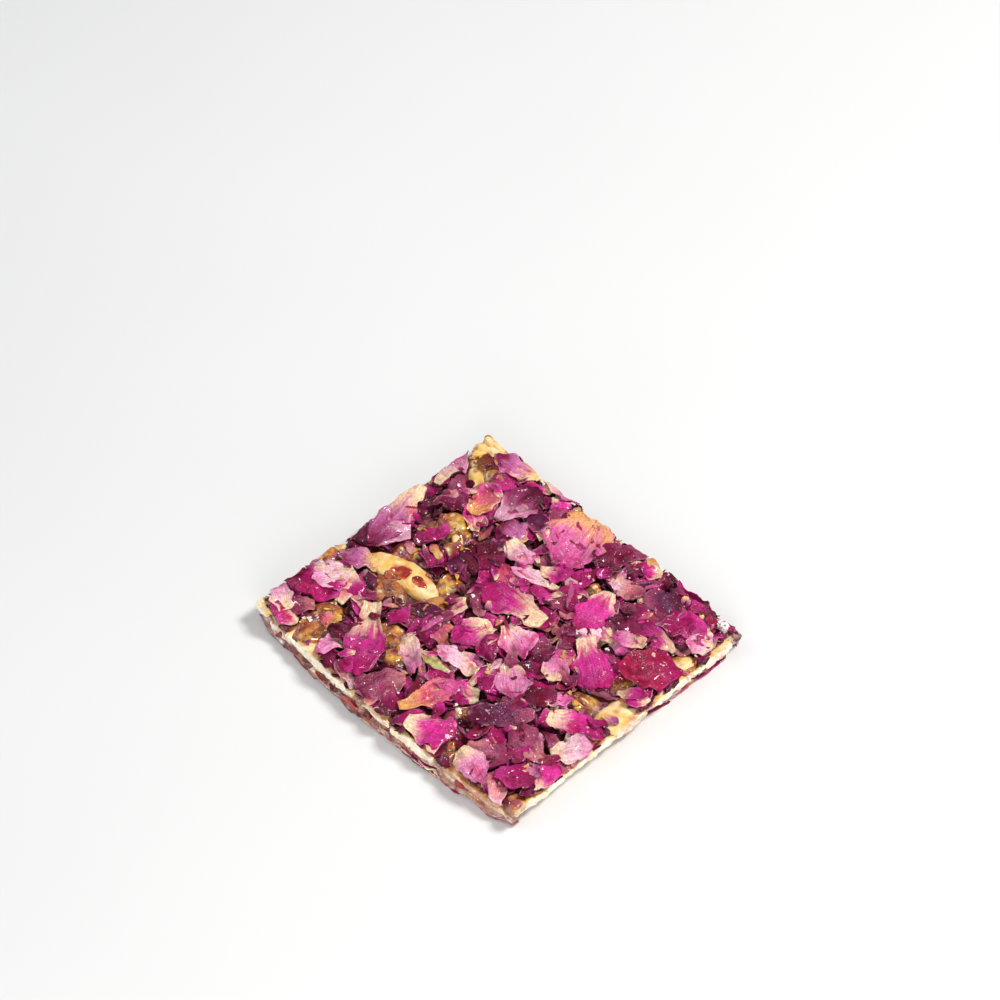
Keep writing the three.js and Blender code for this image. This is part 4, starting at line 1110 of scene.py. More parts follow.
# Smaller nut pieces: middle, height of the middle, heading, length, width, thickness, browning
NUT_PIECES = [
    ((38.2, 15.5), 3.7, 1.57, 17, 3.2, 1.7, 0.05), ((38.2, -8.2), 3.6, 1.57, 7, 3.2, 1.9, 0.1),
    ((38.2, -31.6), 3.7, 1.52, 6, 3, 1.8, 0.2), ((-30.8, -34.8), 2.3, 0.05, 7, 3, 1.5, 0.3),
    ((0, -34.5), 3.5, -0.05, 8, 3, 1.3, 0.45), ((33.5, -34.6), 2.6, 0.05, 7, 3, 1.3, 0.6),
    ((-5, -35.6), 1.5, 0.04, 7, 2.6, 1.0, 0.5), ((26, -35.4), 1.3, -0.04, 8, 2.6, 1.0, 0.4),
    ((-30.6, 33.0), 5.4, 0.1, 4.6, 2.3, 1.3, 0.15), ((-36.0, 29.6), 5.3, 1.2, 3.6, 2.0, 1.3, 0.35),
    ((-21.5, 4.5), 4.9, 0.6, 3.2, 2.2, 1.4, 0.2), ((-38, 6.5), 4.4, 1.2, 4.4, 2.4, 1.5, 0.1),
    ((-25.6, 10.6), 5.3, 0.3, 5.2, 3.2, 1.8, 0.35), ((-21.4, 8.2), 5.3, -0.6, 4.2, 2.6, 1.6, 0.35),
    ((-26.6, 27.6), 5.2, -0.2, 4.4, 1.9, 1.5, 0.3), ((-12.6, -7.6), 5.0, 1.1, 5.0, 2.6, 1.5, 0.7),
    ((-27.0, -12.5), 5.0, 0.1, 4.0, 2.0, 1.3, 0.6), ((-13.2, -20.6), 4.9, 1.3, 4.4, 1.8, 1.4, 0.6),
    ((28.5, -6.2), 5.0, 0.3, 3.4, 2.2, 1.5, 0.6), ((-36.8, -17.2), 4.9, 1.4, 4.0, 2.2, 1.5, 0.5),
    ((-37.6, -14.5), 4.6, 1.5, 9, 2.6, 1.7, 0.5), ((13, -24), 4.9, 0.9, 5.2, 2.8, 1.3, 0.1),
    ((32.2, 8.8), 4.8, 0.4, 2.4, 1.8, 1.3, 0.2), ((27, 9.2), 4.8, 1.1, 2.2, 1.6, 1.2, 0.3),
    ((-35.5, 34.2), 4.6, 0.1, 6, 2.6, 2.0, 0.15), ((-12.5, 34.6), 3.0, 0.0, 9, 3, 1.6, 0.15),
    ((24, 34.6), 3.2, 0.03, 12, 3, 1.6, 0.2), ((-38.3, 20), 3.1, 1.6, 12, 3, 1.6, 0.2),
    ((-38.3, -27.5), 3.0, 1.55, 8, 3, 1.7, 0.15), ((38.4, -33), 4.6, 1.2, 3.4, 2.6, 1.8, 0.6),
    ((18.6, 34), 4.8, 0.3, 3.6, 2.4, 1.4, 0.5), ((8.6, 19.6), 5.0, 0.8, 2.4, 1.8, 1.1, 0.75),
]
# Dents in the nut half on top, filled with browned sugar: middle, half length and half width
DENTS = ((-23.6, -7.2, 2.5, 2.2), (-18.6, -6.2, 1.9, 1.3), (-24.6, -9.2, 1.1, 0.8))


# How a nut that the knife has cut differs from a whole one: rings to a millimetre, how blunt its ends
# are, how rough its sections are and how uneven they are above and below
CUT_NUT = (4.2, 0.45, 0.3, 0.6)
WHOLE_NUT = (2.8, 0.75, 0.08, 0.1)
DENT_DEPTH = 0.7


def add_kernel(pile, middle, height, heading, length, width, thick, bend, brown, seed, dents=()):
    """A nut: oval sections along a bent centre line, closed by a point at both ends, roughened by
    noise, dented in places and broken off rough where the knife went through. Raises the map."""
    cut_off = max(np.abs(middle[0]) + width / 3 - CUT_X, np.abs(middle[1]) + width / 3 - CUT_Y) > 0
    dense, blunt, rough, uneven = CUT_NUT if cut_off else WHOLE_NUT
    rings = int(np.clip(length * dense, 14, 84))
    sides = int(np.clip(width * 7, 24, 48))
    phase = np.linspace(0, np.pi, rings + 1)[1:-1, None]
    angle = np.linspace(0, 2 * np.pi, sides, endpoint=False)[None, :]
    swell = layered_noise(phase * length / 3, np.cos(angle) * 1.6 + np.sin(angle) * 2.1, 1.0, seed)
    girth = np.sin(phase) ** blunt * (1 + rough * swell)
    across = np.cos(angle) * width / 2 * girth
    lift = 1 + uneven * noise(phase * length / np.pi, 2 * np.sign(angle - np.pi), 2.4, seed + 1)
    up = np.sin(angle) * thick / 2 * girth * lift
    along = -length / 2 * np.cos(phase) + 0 * angle
    along = np.concatenate([[-length / 2], along.ravel(), [length / 2]])
    across = np.concatenate([[0], across.ravel(), [0]])
    up = np.concatenate([[0], up.ravel(), [0]])
    across = across + bend * (1 - 4 * (along / length) ** 2)
    cos, sin = math.cos(heading), math.sin(heading)
    x = middle[0] + along * cos - across * sin
    y = middle[1] + along * sin + across * cos
    z = height + up
    wrinkles = 0.3 - np.abs(layered_noise(x, y, 1.7, seed + 12))
    z = z + 0.14 * layered_noise(x, y, 2.0, seed + 2) + 0.3 * wrinkles
    past_x, past_y = np.abs(x) > CUT_X, np.abs(y) > CUT_Y
    cut = past_x | past_y
    broken, own = chunk_cells(x + y, 1.6 * z, 1.1, seed)
    flesh = 0.1 + 0.22 * layered_noise(x + y, 1.4 * z, 1.5, seed + 4)
    flesh = flesh + 0.34 * own - 0.25 * smooth(broken, 0.3, 0.8)
    x = np.where(past_x, np.sign(x) * (CUT_X + flesh), x)
    y = np.where(past_y, np.sign(y) * (CUT_Y + flesh), y)
    dented = np.zeros(z.shape)
    for at_x, at_y, half_long, half_wide in dents:
        reach = np.hypot((x - at_x) / half_long, (y - at_y) / half_wide) + 0.25 * noise(x, y, 1.2, seed + 5)
        dented = np.maximum(dented, (1 - smooth(reach, 0.55, 1.05)) * (up > 0))
    z = z - DENT_DEPTH * dented
    points = np.column_stack([x, y, z])
    low_down = 0.8 * smooth(height - z, -0.35 * thick, 0.1 * thick)
    sugar = smooth(layered_noise(x, y, 1.7, seed + 8) + 2 * brown - 1 + low_down, -0.2, 0.5)
    skin = painted(
        colour("kernel_cream"), ("kernel_yellow", blotches(x, y, 3.0, seed + 6, -0.4, 0.5)),
        ("toffee_orange", 0.5 * smooth(-wrinkles, 0.05, 0.35)), ("toffee_amber", 0.85 * sugar))
    inside = painted(
        colour("kernel_white"), ("crust_beige", 0.5 * blotches(x + y, 1.5 * z, 1.6, seed + 9, 0.25, 0.7)),
        ("toffee_amber", brown * smooth(own + brown, 0.6, 1.1)))
    tints = mixed(skin, inside, 1.0 * cut)
    tints = mixed(tints, (colour("pocket_red") + colour("toffee_orange")) / 2, dented)
    pile.add(points, pointed_quads(rings - 1, sides), tints, points[:, :2] / 10)
    maps["top"].lay(points[1:-1].reshape(rings - 1, sides, 3)[:, :sides // 2 + 1], 0.0)


def build_kernels():
    """Each nut that shows in place of its CAD node, and the smaller pieces as one more piece."""
    for seed, (name, middle, heading, length, width, bend, brown) in enumerate(
            KERNELS, FIRST_SEEDS["kernels"]):
        pile = Pile()
        low, high = node_box(name)[:, 2]
        dents = DENTS if name == "cashew_half_top" else ()
        add_kernel(pile, middle, (low + high) / 2, heading, length, width, high - low, bend, brown, seed,
                   dents)
        place_piece(pile, "kernel_" + name, "nut_kernel", [name])
    pile = Pile()
    for seed, (middle, height, heading, length, width, thick, brown) in enumerate(
            NUT_PIECES, FIRST_SEEDS["nut_pieces"]):
        add_kernel(pile, middle, height, heading, length, width, thick, 0.1, brown, seed)
    place_piece(pile, "kernel_pieces", "nut_kernel")


# Petals of all sizes: mixes of colourings with their weights, and how each kind is laid, in
# millimetres and shares
PLAIN_MIX = {
    "magenta": 0.24, "deep": 0.22, "plum": 0.16, "crimson": 0.07, "mauve": 0.06, "slate": 0.04,
    "pink": 0.06, "lilac_plum": 0.07, "pale": 0.02, "salmon": 0.02, "coral": 0.02}
DARK_MIX = {"deep": 0.25, "plum": 0.3, "burgundy": 0.2, "mauve": 0.08, "brown": 0.12, "slate": 0.05}
WARM_MIX = {
    "brown": 0.2, "burgundy": 0.16, "salmon": 0.14, "coral": 0.1, "orange_light": 0.06,
    "mauve": 0.12, "deep": 0.08, "toffee_pale": 0.04, "pale": 0.04, "slate": 0.06}
LOOSE_MIX = PLAIN_MIX | {"coral": 0.07, "brown": 0.1, "burgundy": 0.1}
EDGE_MIX = {
    "crust": 0.24, "crust_pink": 0.2, "crust_dark": 0.2, "mauve": 0.1, "plum": 0.06, "deep": 0.04,
    "brown": 0.08, "salmon": 0.08}
# The flakes' shade of 0.7 darkens their colours: painted shade in the gaps between the petals.
FLAKE = {"step": 0.9, "thickness": 0.14, "torn": 0.28, "crumple": 1.2, "squeeze": 0.7, "shade": 0.7,
         "clear_of": 0.3}
SMALL_PETAL = {"step": 0.5, "thickness": 0.15, "torn": 0.22, "crumple": 1.4, "squeeze": 0.7, "clear_of": 0.2}
LOW_PETAL = {"step": 0.4, "thickness": 0.16, "torn": 0.15, "crumple": 1.3, "squeeze": 0.8}
LARGE_PETAL = {"torn": 0.16, "crumple": 1.6, "squeeze": 0.9}
RIM_PETAL = {"step": 0.42, "thickness": 0.14, "torn": 0.22, "crumple": 1.3, "squeeze": 0.8, "clear_of": 0.3}
LOOSE_FLAKE = {"step": 0.4, "thickness": 0.12, "torn": 0.35, "squeeze": 0.8, "clear_of": 0.4}
UNDER_PETAL = {"step": 0.6, "thickness": 0.1, "torn": 0.14, "crumple": 0.3, "squeeze": 0.1, "broken": 1.0,
               "height_map": "under"}
# Lengths of the kinds that are strewn, their widths as shares of them, and the small petals' forms
FLAKE_LENGTHS, FLAKE_WIDTHS = (1.8, 4.2), (0.5, 0.9)
SMALL_LENGTHS, SMALL_WIDTHS = (4.5, 8.5), (0.45, 0.8)
RIM_LENGTHS, RIM_WIDTHS = (2.2, 5.2), (0.4, 0.85)
LOOSE_LENGTHS, LOOSE_WIDTHS = (1.2, 3.6), (0.3, 0.6)
UNDER_LONG, UNDER_SHORT, UNDER_WIDTHS = (8, 14), (4, 8), (0.5, 0.8)
SMALL_FORMS = {"flat": 0.05, "cupped": 0.12, "domed": 0.1, "ruffled": 0.38, "creased": 0.19, "folded": 0.08,
               "rolled": 0.08}
# How far a large petal's middle may lie from its CAD node's, and up to which height the underside is
# filled with petals
FARTHEST_FROM_NODE = 2.5
UNDER_DEEPEST = 0.5


def pick(rng, mix):
    """A name from a mix, drawn by its weight."""
    weights = list(mix.values())
    return rng.choice(list(mix), p=np.array(weights) / sum(weights))


def mix_near(rng, x, y, mix):
    """The mix for a place: a warm one now and then, most often near browned sugar and on the -X half."""
    near = np.hypot(TOFFEE_SPOTS[:, 0] - x, TOFFEE_SPOTS[:, 1] - y) < TOFFEE_SPOTS[:, 2] + 3
    return WARM_MIX if rng.uniform() < 0.08 + 0.3 * near.any() + 0.08 * (x < -5) else mix


def scattered(rng, count, margin):
    """Places spread evenly at random: one in each cell of a loose grid, in shuffled order."""
    ratio = CUT_X / CUT_Y
    columns = max(1, round(math.sqrt(count * ratio)))
    rows = max(1, round(count / columns))
    i, j = np.meshgrid(np.arange(columns), np.arange(rows), indexing="ij")
    x = (i.ravel() + rng.uniform(0, 1, i.size)) / columns * 2 - 1
    y = (j.ravel() + rng.uniform(0, 1, i.size)) / rows * 2 - 1
    order = rng.permutation(i.size)
    return x[order] * (CUT_X - margin), y[order] * (CUT_Y - margin)


def drawn_ends(rng, x, y, length, behind=0.5):
    """Claw and tip of a petal over a place, turned at random, with a share of it behind the place."""
    turn = rng.uniform(0, 2 * np.pi)
    way = length * np.array([math.cos(turn), math.sin(turn)])
    return np.array([x, y]) - behind * way, np.array([x, y]) + (1 - behind) * way


def build_flakes():
    """Broken bits that cover the pressed mass, in dark petal colours, darkened further by their shade
    factor as painted shade in the gaps between the petals.
    """
    rng, pile = start_pile("flakes")
    for x, y in zip(*scattered(rng, bpy.context.scene.brittle_sizes.flakes, 0.3)):
        length = rng.uniform(*FLAKE_LENGTHS)
        claw, tip = drawn_ends(rng, x, y, length, behind=0)
        lay_petal(pile, rng, claw, tip, length * rng.uniform(*FLAKE_WIDTHS),
                  pick(rng, mix_near(rng, x, y, DARK_MIX)),
                  rng.choice(["flat", "cupped", "domed", "ruffled"]), **FLAKE)
    place_piece(pile, "petal_flakes", "dried_petal")


def build_small_petals():
    """Petals of middling size between the large ones."""
    rng, pile = start_pile("small_petals")
    for x, y in zip(*scattered(rng, bpy.context.scene.brittle_sizes.small_petals, 0.5)):
        length = rng.uniform(*SMALL_LENGTHS)
        claw, tip = drawn_ends(rng, x, y, length)
        form = pick(rng, SMALL_FORMS)
        lay_petal(pile, rng, claw, tip, length * rng.uniform(*SMALL_WIDTHS),
                  pick(rng, mix_near(rng, x, y, PLAIN_MIX)), form, **SMALL_PETAL)
    place_piece(pile, "petals_small", "dried_petal")


def build_low_petals():
    """The petals of the photo that lie partly under the large ones."""
    pile = Pile()
    for seed, (claw, tip, width, palette, form) in enumerate(LOW_PETALS, FIRST_SEEDS["low_petals"]):
        rng = np.random.default_rng(seed)
        lay_petal(pile, rng, claw, tip, width, palette, form, **LOW_PETAL)
    place_piece(pile, "petals_low", "dried_petal")


def build_large_petals():
    """The petals that show best, each in place of its CAD node."""
    sizes = bpy.context.scene.brittle_sizes
    for seed, (name, claw, tip, width, palette, form) in enumerate(PETALS, FIRST_SEEDS["large_petals"]):
        rng, pile = np.random.default_rng(seed), Pile()
        low, high = node_box(name)
        middle = bowed_out((np.array([claw + (0,)]) + np.array([tip + (0,)])) / 2)[0, :2]
        if np.abs(middle - (low + high)[:2] / 2).max() > FARTHEST_FROM_NODE:
            raise RuntimeError(name + " isn't where its CAD node is")
        lay_petal(pile, rng, claw, tip, width, palette, form, step=sizes.petal_step / MM,
                  thickness=sizes.petal_thickness / MM, **LARGE_PETAL)
        place_piece(pile, "rose_" + name, "dried_petal", [name])


def build_rim_petals():
    """Small petals that cover parts of the rims and claws of the large ones."""
    rng, pile = start_pile("rim_petals")
    for _, claw, tip, width, _, _ in PETALS[2:]:
        claw, tip = np.array(claw), np.array(tip)
        along = (tip - claw) / np.linalg.norm(tip - claw)
        across = np.array([-along[1], along[0]])
        for _ in range(2):
            side = rng.choice([-1, 1])
            u = rng.uniform(-0.1, 1.0)
            out = width * (0.3 + 0.22 * math.sin(math.pi * max(u, 0)))
            middle = claw + u * (tip - claw) + side * across * out
            length = rng.uniform(*RIM_LENGTHS)
            small_claw, small_tip = drawn_ends(rng, *middle, length)
            if abs(middle[0]) > CUT_X - 1.5 or abs(middle[1]) > CUT_Y - 1.5:
                continue
            lay_petal(pile, rng, small_claw, small_tip, length * rng.uniform(*RIM_WIDTHS),
                      pick(rng, PLAIN_MIX), rng.choice(["ruffled", "creased", "tip_up", "folded"]),
                      **RIM_PETAL)
    place_piece(pile, "petals_rim", "dried_petal")


def build_loose_flakes():
    """Shreds and bits on top of everything."""
    rng, pile = start_pile("loose_flakes")
    for x, y in zip(*scattered(rng, bpy.context.scene.brittle_sizes.loose_flakes, 3.0)):
        length = rng.uniform(*LOOSE_LENGTHS)
        claw, tip = drawn_ends(rng, x, y, length, behind=0)
        lay_petal(pile, rng, claw, tip, length * rng.uniform(*LOOSE_WIDTHS), pick(rng, LOOSE_MIX),
                  rng.choice(["ruffled", "creased", "rolled"]), **LOOSE_FLAKE)
    place_piece(pile, "petal_bits", "dried_petal")


def build_under_petals():
    """Petals pressed flat under the mass. The first ones lie on the floor, so they show whole from
    below, and the rest fill in behind them."""
    rng, pile = start_pile("under_petals")
    count = bpy.context.scene.brittle_sizes.under_petals
    lengths = np.concatenate([
        rng.uniform(*UNDER_LONG, count // 3), rng.uniform(*UNDER_SHORT, count - count // 3)])
    for x, y, length in zip(*scattered(rng, count, 0.5), lengths):
        claw, tip = drawn_ends(rng, x, y, length)
        if level_at("under", x, y, 1.0) > UNDER_DEEPEST:
            continue
        lay_petal(pile, rng, claw, tip, length * rng.uniform(*UNDER_WIDTHS), pick(rng, PLAIN_MIX),
                  rng.choice(["flat", "domed", "cupped"]), **UNDER_PETAL)
    for points in pile.points:
        points[:, 2] = np.clip(points[:, 2], 0.0, None)
    place_piece(pile, "petals_under", "dried_petal")


# Sides

# How far layers keep from the height of a pocket, the share of them at each side and between each two
# levels, their lengths, mesh step, reach into the mass and thickness
POCKET_REACH = 0.9
SIDE_SHARES = (0.34, 0.18, 0.24, 0.24)
LAYER_LEVELS = (0.25, 1.6, 3.4, CORE_TOP + 0.2)
LEVEL_SHARES = (0.4, 0.15, 0.45)
LAYER_LENGTHS = (2.5, 10)
LAYER_STEP = 0.45
LAYER_REACH = 1.5
LAYER_THICKNESS = (0.12, 0.22)
# How deep into a hollow of the mass the layers follow it, as a share
IN_HOLLOWS = 0.7
# Clear sugar that fills hollows at the front cut: place along it, height, half length and how much
# light it lets through
POCKETS = (
    (-30.8, 1.7, 1.3, 0.3), (-25.6, 1.6, 1.6, 0.15), (-20.6, 1.6, 1.5, 0.0), (-16.3, 1.5, 2.0, 0.4),
    (-12.2, 1.5, 1.8, 0.1), (-6.9, 1.6, 3.6, 1.0), (-1.8, 1.6, 1.5, 0.2), (24.5, 2.0, 1.6, 0.6))


def side_point(side, along, out):
    """A place at a side: along its run from the middle, and out from the knife's line."""
    return ((along, -CUT_Y - out), (CUT_X + out, along), (along, CUT_Y + out), (-CUT_X - out, along))[side]


def past_cut(side, low, high):
    """How far a box reaches out past a side's cut."""
    return (-CUT_Y - low[1], high[0] - CUT_X, high[1] - CUT_Y, -CUT_X - low[0])[side]


def cut_spots(side):
    """The cut nuts and the pockets of sugar at a side: each one's middle and half length along it,
    and its height and half height."""
    axis = side % 2
    spots = [(middle, half, height, POCKET_REACH) for middle, height, half, _ in POCKETS if side == 0]
    for name, *_ in KERNELS:
        low, high = node_box(name)
        if past_cut(side, low, high) > -0.3:
            middle, half = (low + high) / 2, (high - low) / 2
            spots.append((middle[axis], half[axis], middle[2], half[2] + 0.1))
    for middle, height, _, length, _, thick, _ in NUT_PIECES:
        if past_cut(side, middle, middle) > -1:
            spots.append((middle[axis], length / 2, height, thick / 2 + 0.1))
    return np.array(spots)


def build_edge_layers():
    """Pressed petals that the knife has cut, seen edge on: thin strips that follow a side, wave up
    and down and reach 1.5 mm into the mass."""
    rng, pile = start_pile("edge_layers")
    spots = [cut_spots(side) for side in range(4)]
    for _ in range(bpy.context.scene.brittle_sizes.edge_layers):
        side = rng.choice(4, p=SIDE_SHARES)
        half = CUT_X if side % 2 == 0 else CUT_Y
        length = rng.uniform(*LAYER_LENGTHS)
        start = rng.uniform(-half, half - length * 0.6)
        steps = max(4, int(length / LAYER_STEP))
        s = np.minimum(start + np.linspace(0, length, steps + 1), half)[:, None]
        d = np.linspace(0, 1, 4)[None, :]
        levels = [rng.uniform(low, high) for low, high in zip(LAYER_LEVELS[:-1], LAYER_LEVELS[1:])]
        level = rng.choice(levels, p=LEVEL_SHARES)
        off = np.abs(start + length * np.array([[0.15], [0.5], [0.85]]) - spots[side][:, 0])
        if ((off < spots[side][:, 1]) & (np.abs(level - spots[side][:, 2]) < spots[side][:, 3])).any():
            continue
        if side == 1 and undercut(start + length / 2, level) > 0.3:
            continue
        seed = rng.uniform(0, 90)
        taper = np.sin(np.pi * np.linspace(0, 1, steps + 1)[:, None]) ** 0.5
        inset = side_inset(s, np.full(s.shape, level), side)
        inset = np.where(inset > 0, IN_HOLLOWS, 1.0) * inset
        proud = rng.uniform(-0.15, 0.2) * taper + 0.14 * noise(s, 0 * s, 0.8, seed)
        x, y = side_point(side, s + 0 * d, proud - inset - LAYER_REACH * (1 - d))
        z = level + 0.4 * noise(s, 0 * s, 2.6, seed + 1) + 0.1 * noise(s, d, 0.7, seed + 2)
        z = np.clip(z + rng.uniform(-0.3, 0.3) * d, 0.15, None)
        sheet = np.stack(np.broadcast_arrays(x, y, z), axis=-1)
        if side in (1, 2):
            sheet = sheet[:, ::-1]
        u = (s - start) / length + 0 * d
        tints = petal_tints(rng, u, d * 2 - 1 + 0 * s, pick(rng, EDGE_MIX), length, LAYER_REACH)
        # Painted light and shade: layers at the front cut are brightened by 1.2, those at the other cuts
        # darkened by 0.9.
        tints = tints * (1.2 if side == 0 else 0.9)
        thickness = rng.uniform(*LAYER_THICKNESS)
        add_shell(pile, sheet, thickness, tints, petal_places(rng, u, d + 0 * s, length))
    place_piece(pile, "edge_layers", "dried_petal")


# Sugar, toffee and crumbs

# Mesh step and thickness of the puddles and how far their rims sink in, and the grains on the sugar
# lump and at each place of the photo
POOL_STEP = 0.26
POOL_THICKNESS = 0.3
POOL_RIM_SUNK = 0.45
GRAINS_ON_LUMP = 26
GRAINS_AT_SPOT = 3


def ball_points(rows, columns):
    """Unit ball as rings from pole to pole: points and quads, the end ones pointed."""
    polar = np.linspace(0, np.pi, rows + 1)[1:-1, None]
    turn = np.linspace(0, 2 * np.pi, columns, endpoint=False)[None, :]
    ring = np.stack(np.broadcast_arrays(
        np.sin(polar) * np.cos(turn), np.sin(polar) * np.sin(turn), np.cos(polar)), axis=-1).reshape(-1, 3)
    points = np.concatenate([[(0, 0, 1)], ring, [(0, 0, -1)]])
    return points, pointed_quads(rows - 1, columns, flip=True)


def add_lump(pile, rng, ball, place, radii, first, second, sink=0.3, cuts=9, turn=None):
    """A lump: a ball cut flat by random planes, stretched, turned and sunk a little. Its colour
    changes from one to another over it."""
    points, quads = ball
    shape = points.copy()
    for _ in range(cuts):
        normal = rng.normal(size=3)
        normal /= np.linalg.norm(normal)
        beyond = np.maximum(shape @ normal - rng.uniform(0.25, 0.75), 0)
        shape = shape - beyond[:, None] * normal
    share = smooth(shape @ rng.normal(size=3), -0.5, 0.5) * rng.uniform(0, 1)
    angle = rng.uniform(0, 2 * np.pi) if turn is None else turn
    cos, sin = math.cos(angle), math.sin(angle)
    shape = shape * radii
    x, y = shape[:, 0] * cos - shape[:, 1] * sin, shape[:, 0] * sin + shape[:, 1] * cos
    tints = mixed(first, second, share)
    placed = np.column_stack([x + place[0], y + place[1], shape[:, 2] + place[2] + radii[2] * (1 - 2 * sink)])
    pile.add(placed, quads, tints, placed[:, :2] / 10)


def add_pool(pile, rng, middle, radii, heading, tints_at, dome, under_nuts=0.0):
    """A puddle of hard clear sugar: a square grid mapped onto a disc whose rim waves with a noise over
    its angle. It rests on the map, dips under the bare nuts, is domed by a parabola with shallow waves
    on it, and its rim sinks in. Its colour is darkened in the hollows of the waves, a painted shade."""
    steps = int(np.clip(2 * max(radii) / POOL_STEP, 10, 44))
    grid = np.linspace(-1, 1, steps + 1)
    u, v = np.meshgrid(grid, grid, indexing="ij")
    disc_x, disc_y = u * np.sqrt(1 - v * v / 2), v * np.sqrt(1 - u * u / 2)
    seed = rng.uniform(0, 90)
    wave = 1 + 0.4 * noise(1.6 * disc_x, 1.6 * disc_y, 1.0, seed)
    cos, sin = math.cos(heading), math.sin(heading)
    along, across = radii[0] * wave * disc_x, radii[1] * wave * disc_y
    x = drawn_in(middle[0] + along * cos - across * sin, CUT_X)
    y = drawn_in(middle[1] + along * sin + across * cos, CUT_Y)
    out = np.hypot(disc_x, disc_y)
    ripples = layered_noise(x, y, 1.7, seed + 1)
    z = maps["top"].rest(x, y, 0.5) + dome * (1 - out ** 2) + 0.5 * dome * ripples
    z = kept_low(z - POOL_RIM_SUNK * smooth(out, 0.75, 1.0) - under_nuts * nut_share(x, y))
    sheet = np.stack([x, y, z], axis=-1)
    # Painted shade: the colour darkens by up to 0.35 in the hollows of the ripples.
    tints = tints_at(x, y) * (1 - 0.35 * smooth(-ripples, 0.1, 0.6))[..., None]
    add_shell(pile, sheet, POOL_THICKNESS, tints, sheet[..., :2] / 10)
    maps["top"].lay(sheet, POOL_THICKNESS)


def build_toffee():
    """Puddles of browned sugar in the toffee spots, each spot a few that overlap."""
    rng, pile = start_pile("toffee")
    for x, y, reach in TOFFEE_SPOTS:
        for _ in range(2 + int(reach > 4)):
            turn, out = rng.uniform(0, 2 * np.pi), 0.4 * reach * math.sqrt(rng.uniform(0, 1))
            middle = (x + out * math.cos(turn), y + out * math.sin(turn))
            radii = reach * rng.uniform(0.5, 0.9), reach * rng.uniform(0.4, 0.7)
            add_pool(pile, rng, middle, radii, rng.uniform(0, np.pi), toffee_tints, 0.16, under_nuts=1.6)
    place_piece(pile, "toffee_sheets", "toffee")


def red_pocket(x, y):
    """Dark red sugar, orange in blotches."""
    return painted(1.3 * colour("pocket_red"), ("toffee_orange", 0.55 * blotches(x, y, 1.1, 97, -0.4, 0.4)))


def build_pockets():
    """Red sugar in the dents of the nut half, and glassy drops in the hollows of the front cut."""
    rng, pile = start_pile("pockets")
    for x, y, half_long, half_wide in DENTS:
        add_pool(pile, rng, (x, y), (half_long, half_wide), 0.2, red_pocket, 0.12)
    ball = ball_points(13, 26)
    for along, level, half, light in POCKETS:
        first = colour("pocket_red") * (0.35 + 1.2 * light)
        drop = (along, -CUT_Y - float(foot(np.array(along), np.array(level))) + 0.15, level)
        add_lump(pile, rng, ball, drop, (half, 0.9, 0.95), first, 0.7 * first, sink=0.3, cuts=6, turn=0.0)
    place_piece(pile, "sugar_pockets", "toffee")


def build_crumbs():
    """Shards of nut and browned sugar, strewn in the toffee spots."""
    rng, pile = start_pile("crumbs")
    ball = ball_points(6, 9)
    shades = ["kernel_cream", "toffee_yellow", "toffee_orange", "toffee_amber", "toffee_brown", "pocket_red"]
    for x, y in zip(*scattered(rng, bpy.context.scene.brittle_sizes.crumbs, 1.0)):
        if rng.uniform() > toffee_share(x, y) or nut_share(x, y) > 0:
            continue
        size = rng.uniform(0.5, 1.5)
        first, second = (colour(name) for name in rng.choice(shades, 2, replace=False))
        radii = (size, size * rng.uniform(0.3, 0.6), size * 0.3)
        add_lump(pile, rng, ball, on_top(x, y), radii, first, second, sink=0.5, cuts=14)
    place_piece(pile, "nut_crumbs", "toffee", smooth_faces=False)


# White sugar that shows in the photo: middle and radius
SUGAR_SPOTS = [
    (-7, -2, 0.9), (22.5, 9.5, 0.8), (25.8, -4.2, 0.6), (6.5, 18, 0.5), (-5, -25, 0.6), (-10.5, -27.5, 0.5),
    (-16.5, -28.5, 0.5), (-27.5, -30, 0.9), (-26.2, -29, 0.7), (-28.4, -30.6, 0.6), (16.9, -24.3, 0.4),
    (19.4, -27.2, 0.4), (24.5, -10.6, 0.4), (34.2, -22.8, 0.4), (33.2, -23.4, 0.35), (31.7, -28.6, 0.35),
    (8.9, -22, 0.4), (-27.5, -3, 0.4), (11, -24.5, 0.5), (-12, -13, 0.3), (-32, 9, 0.3), (2, 0, 0.3)]


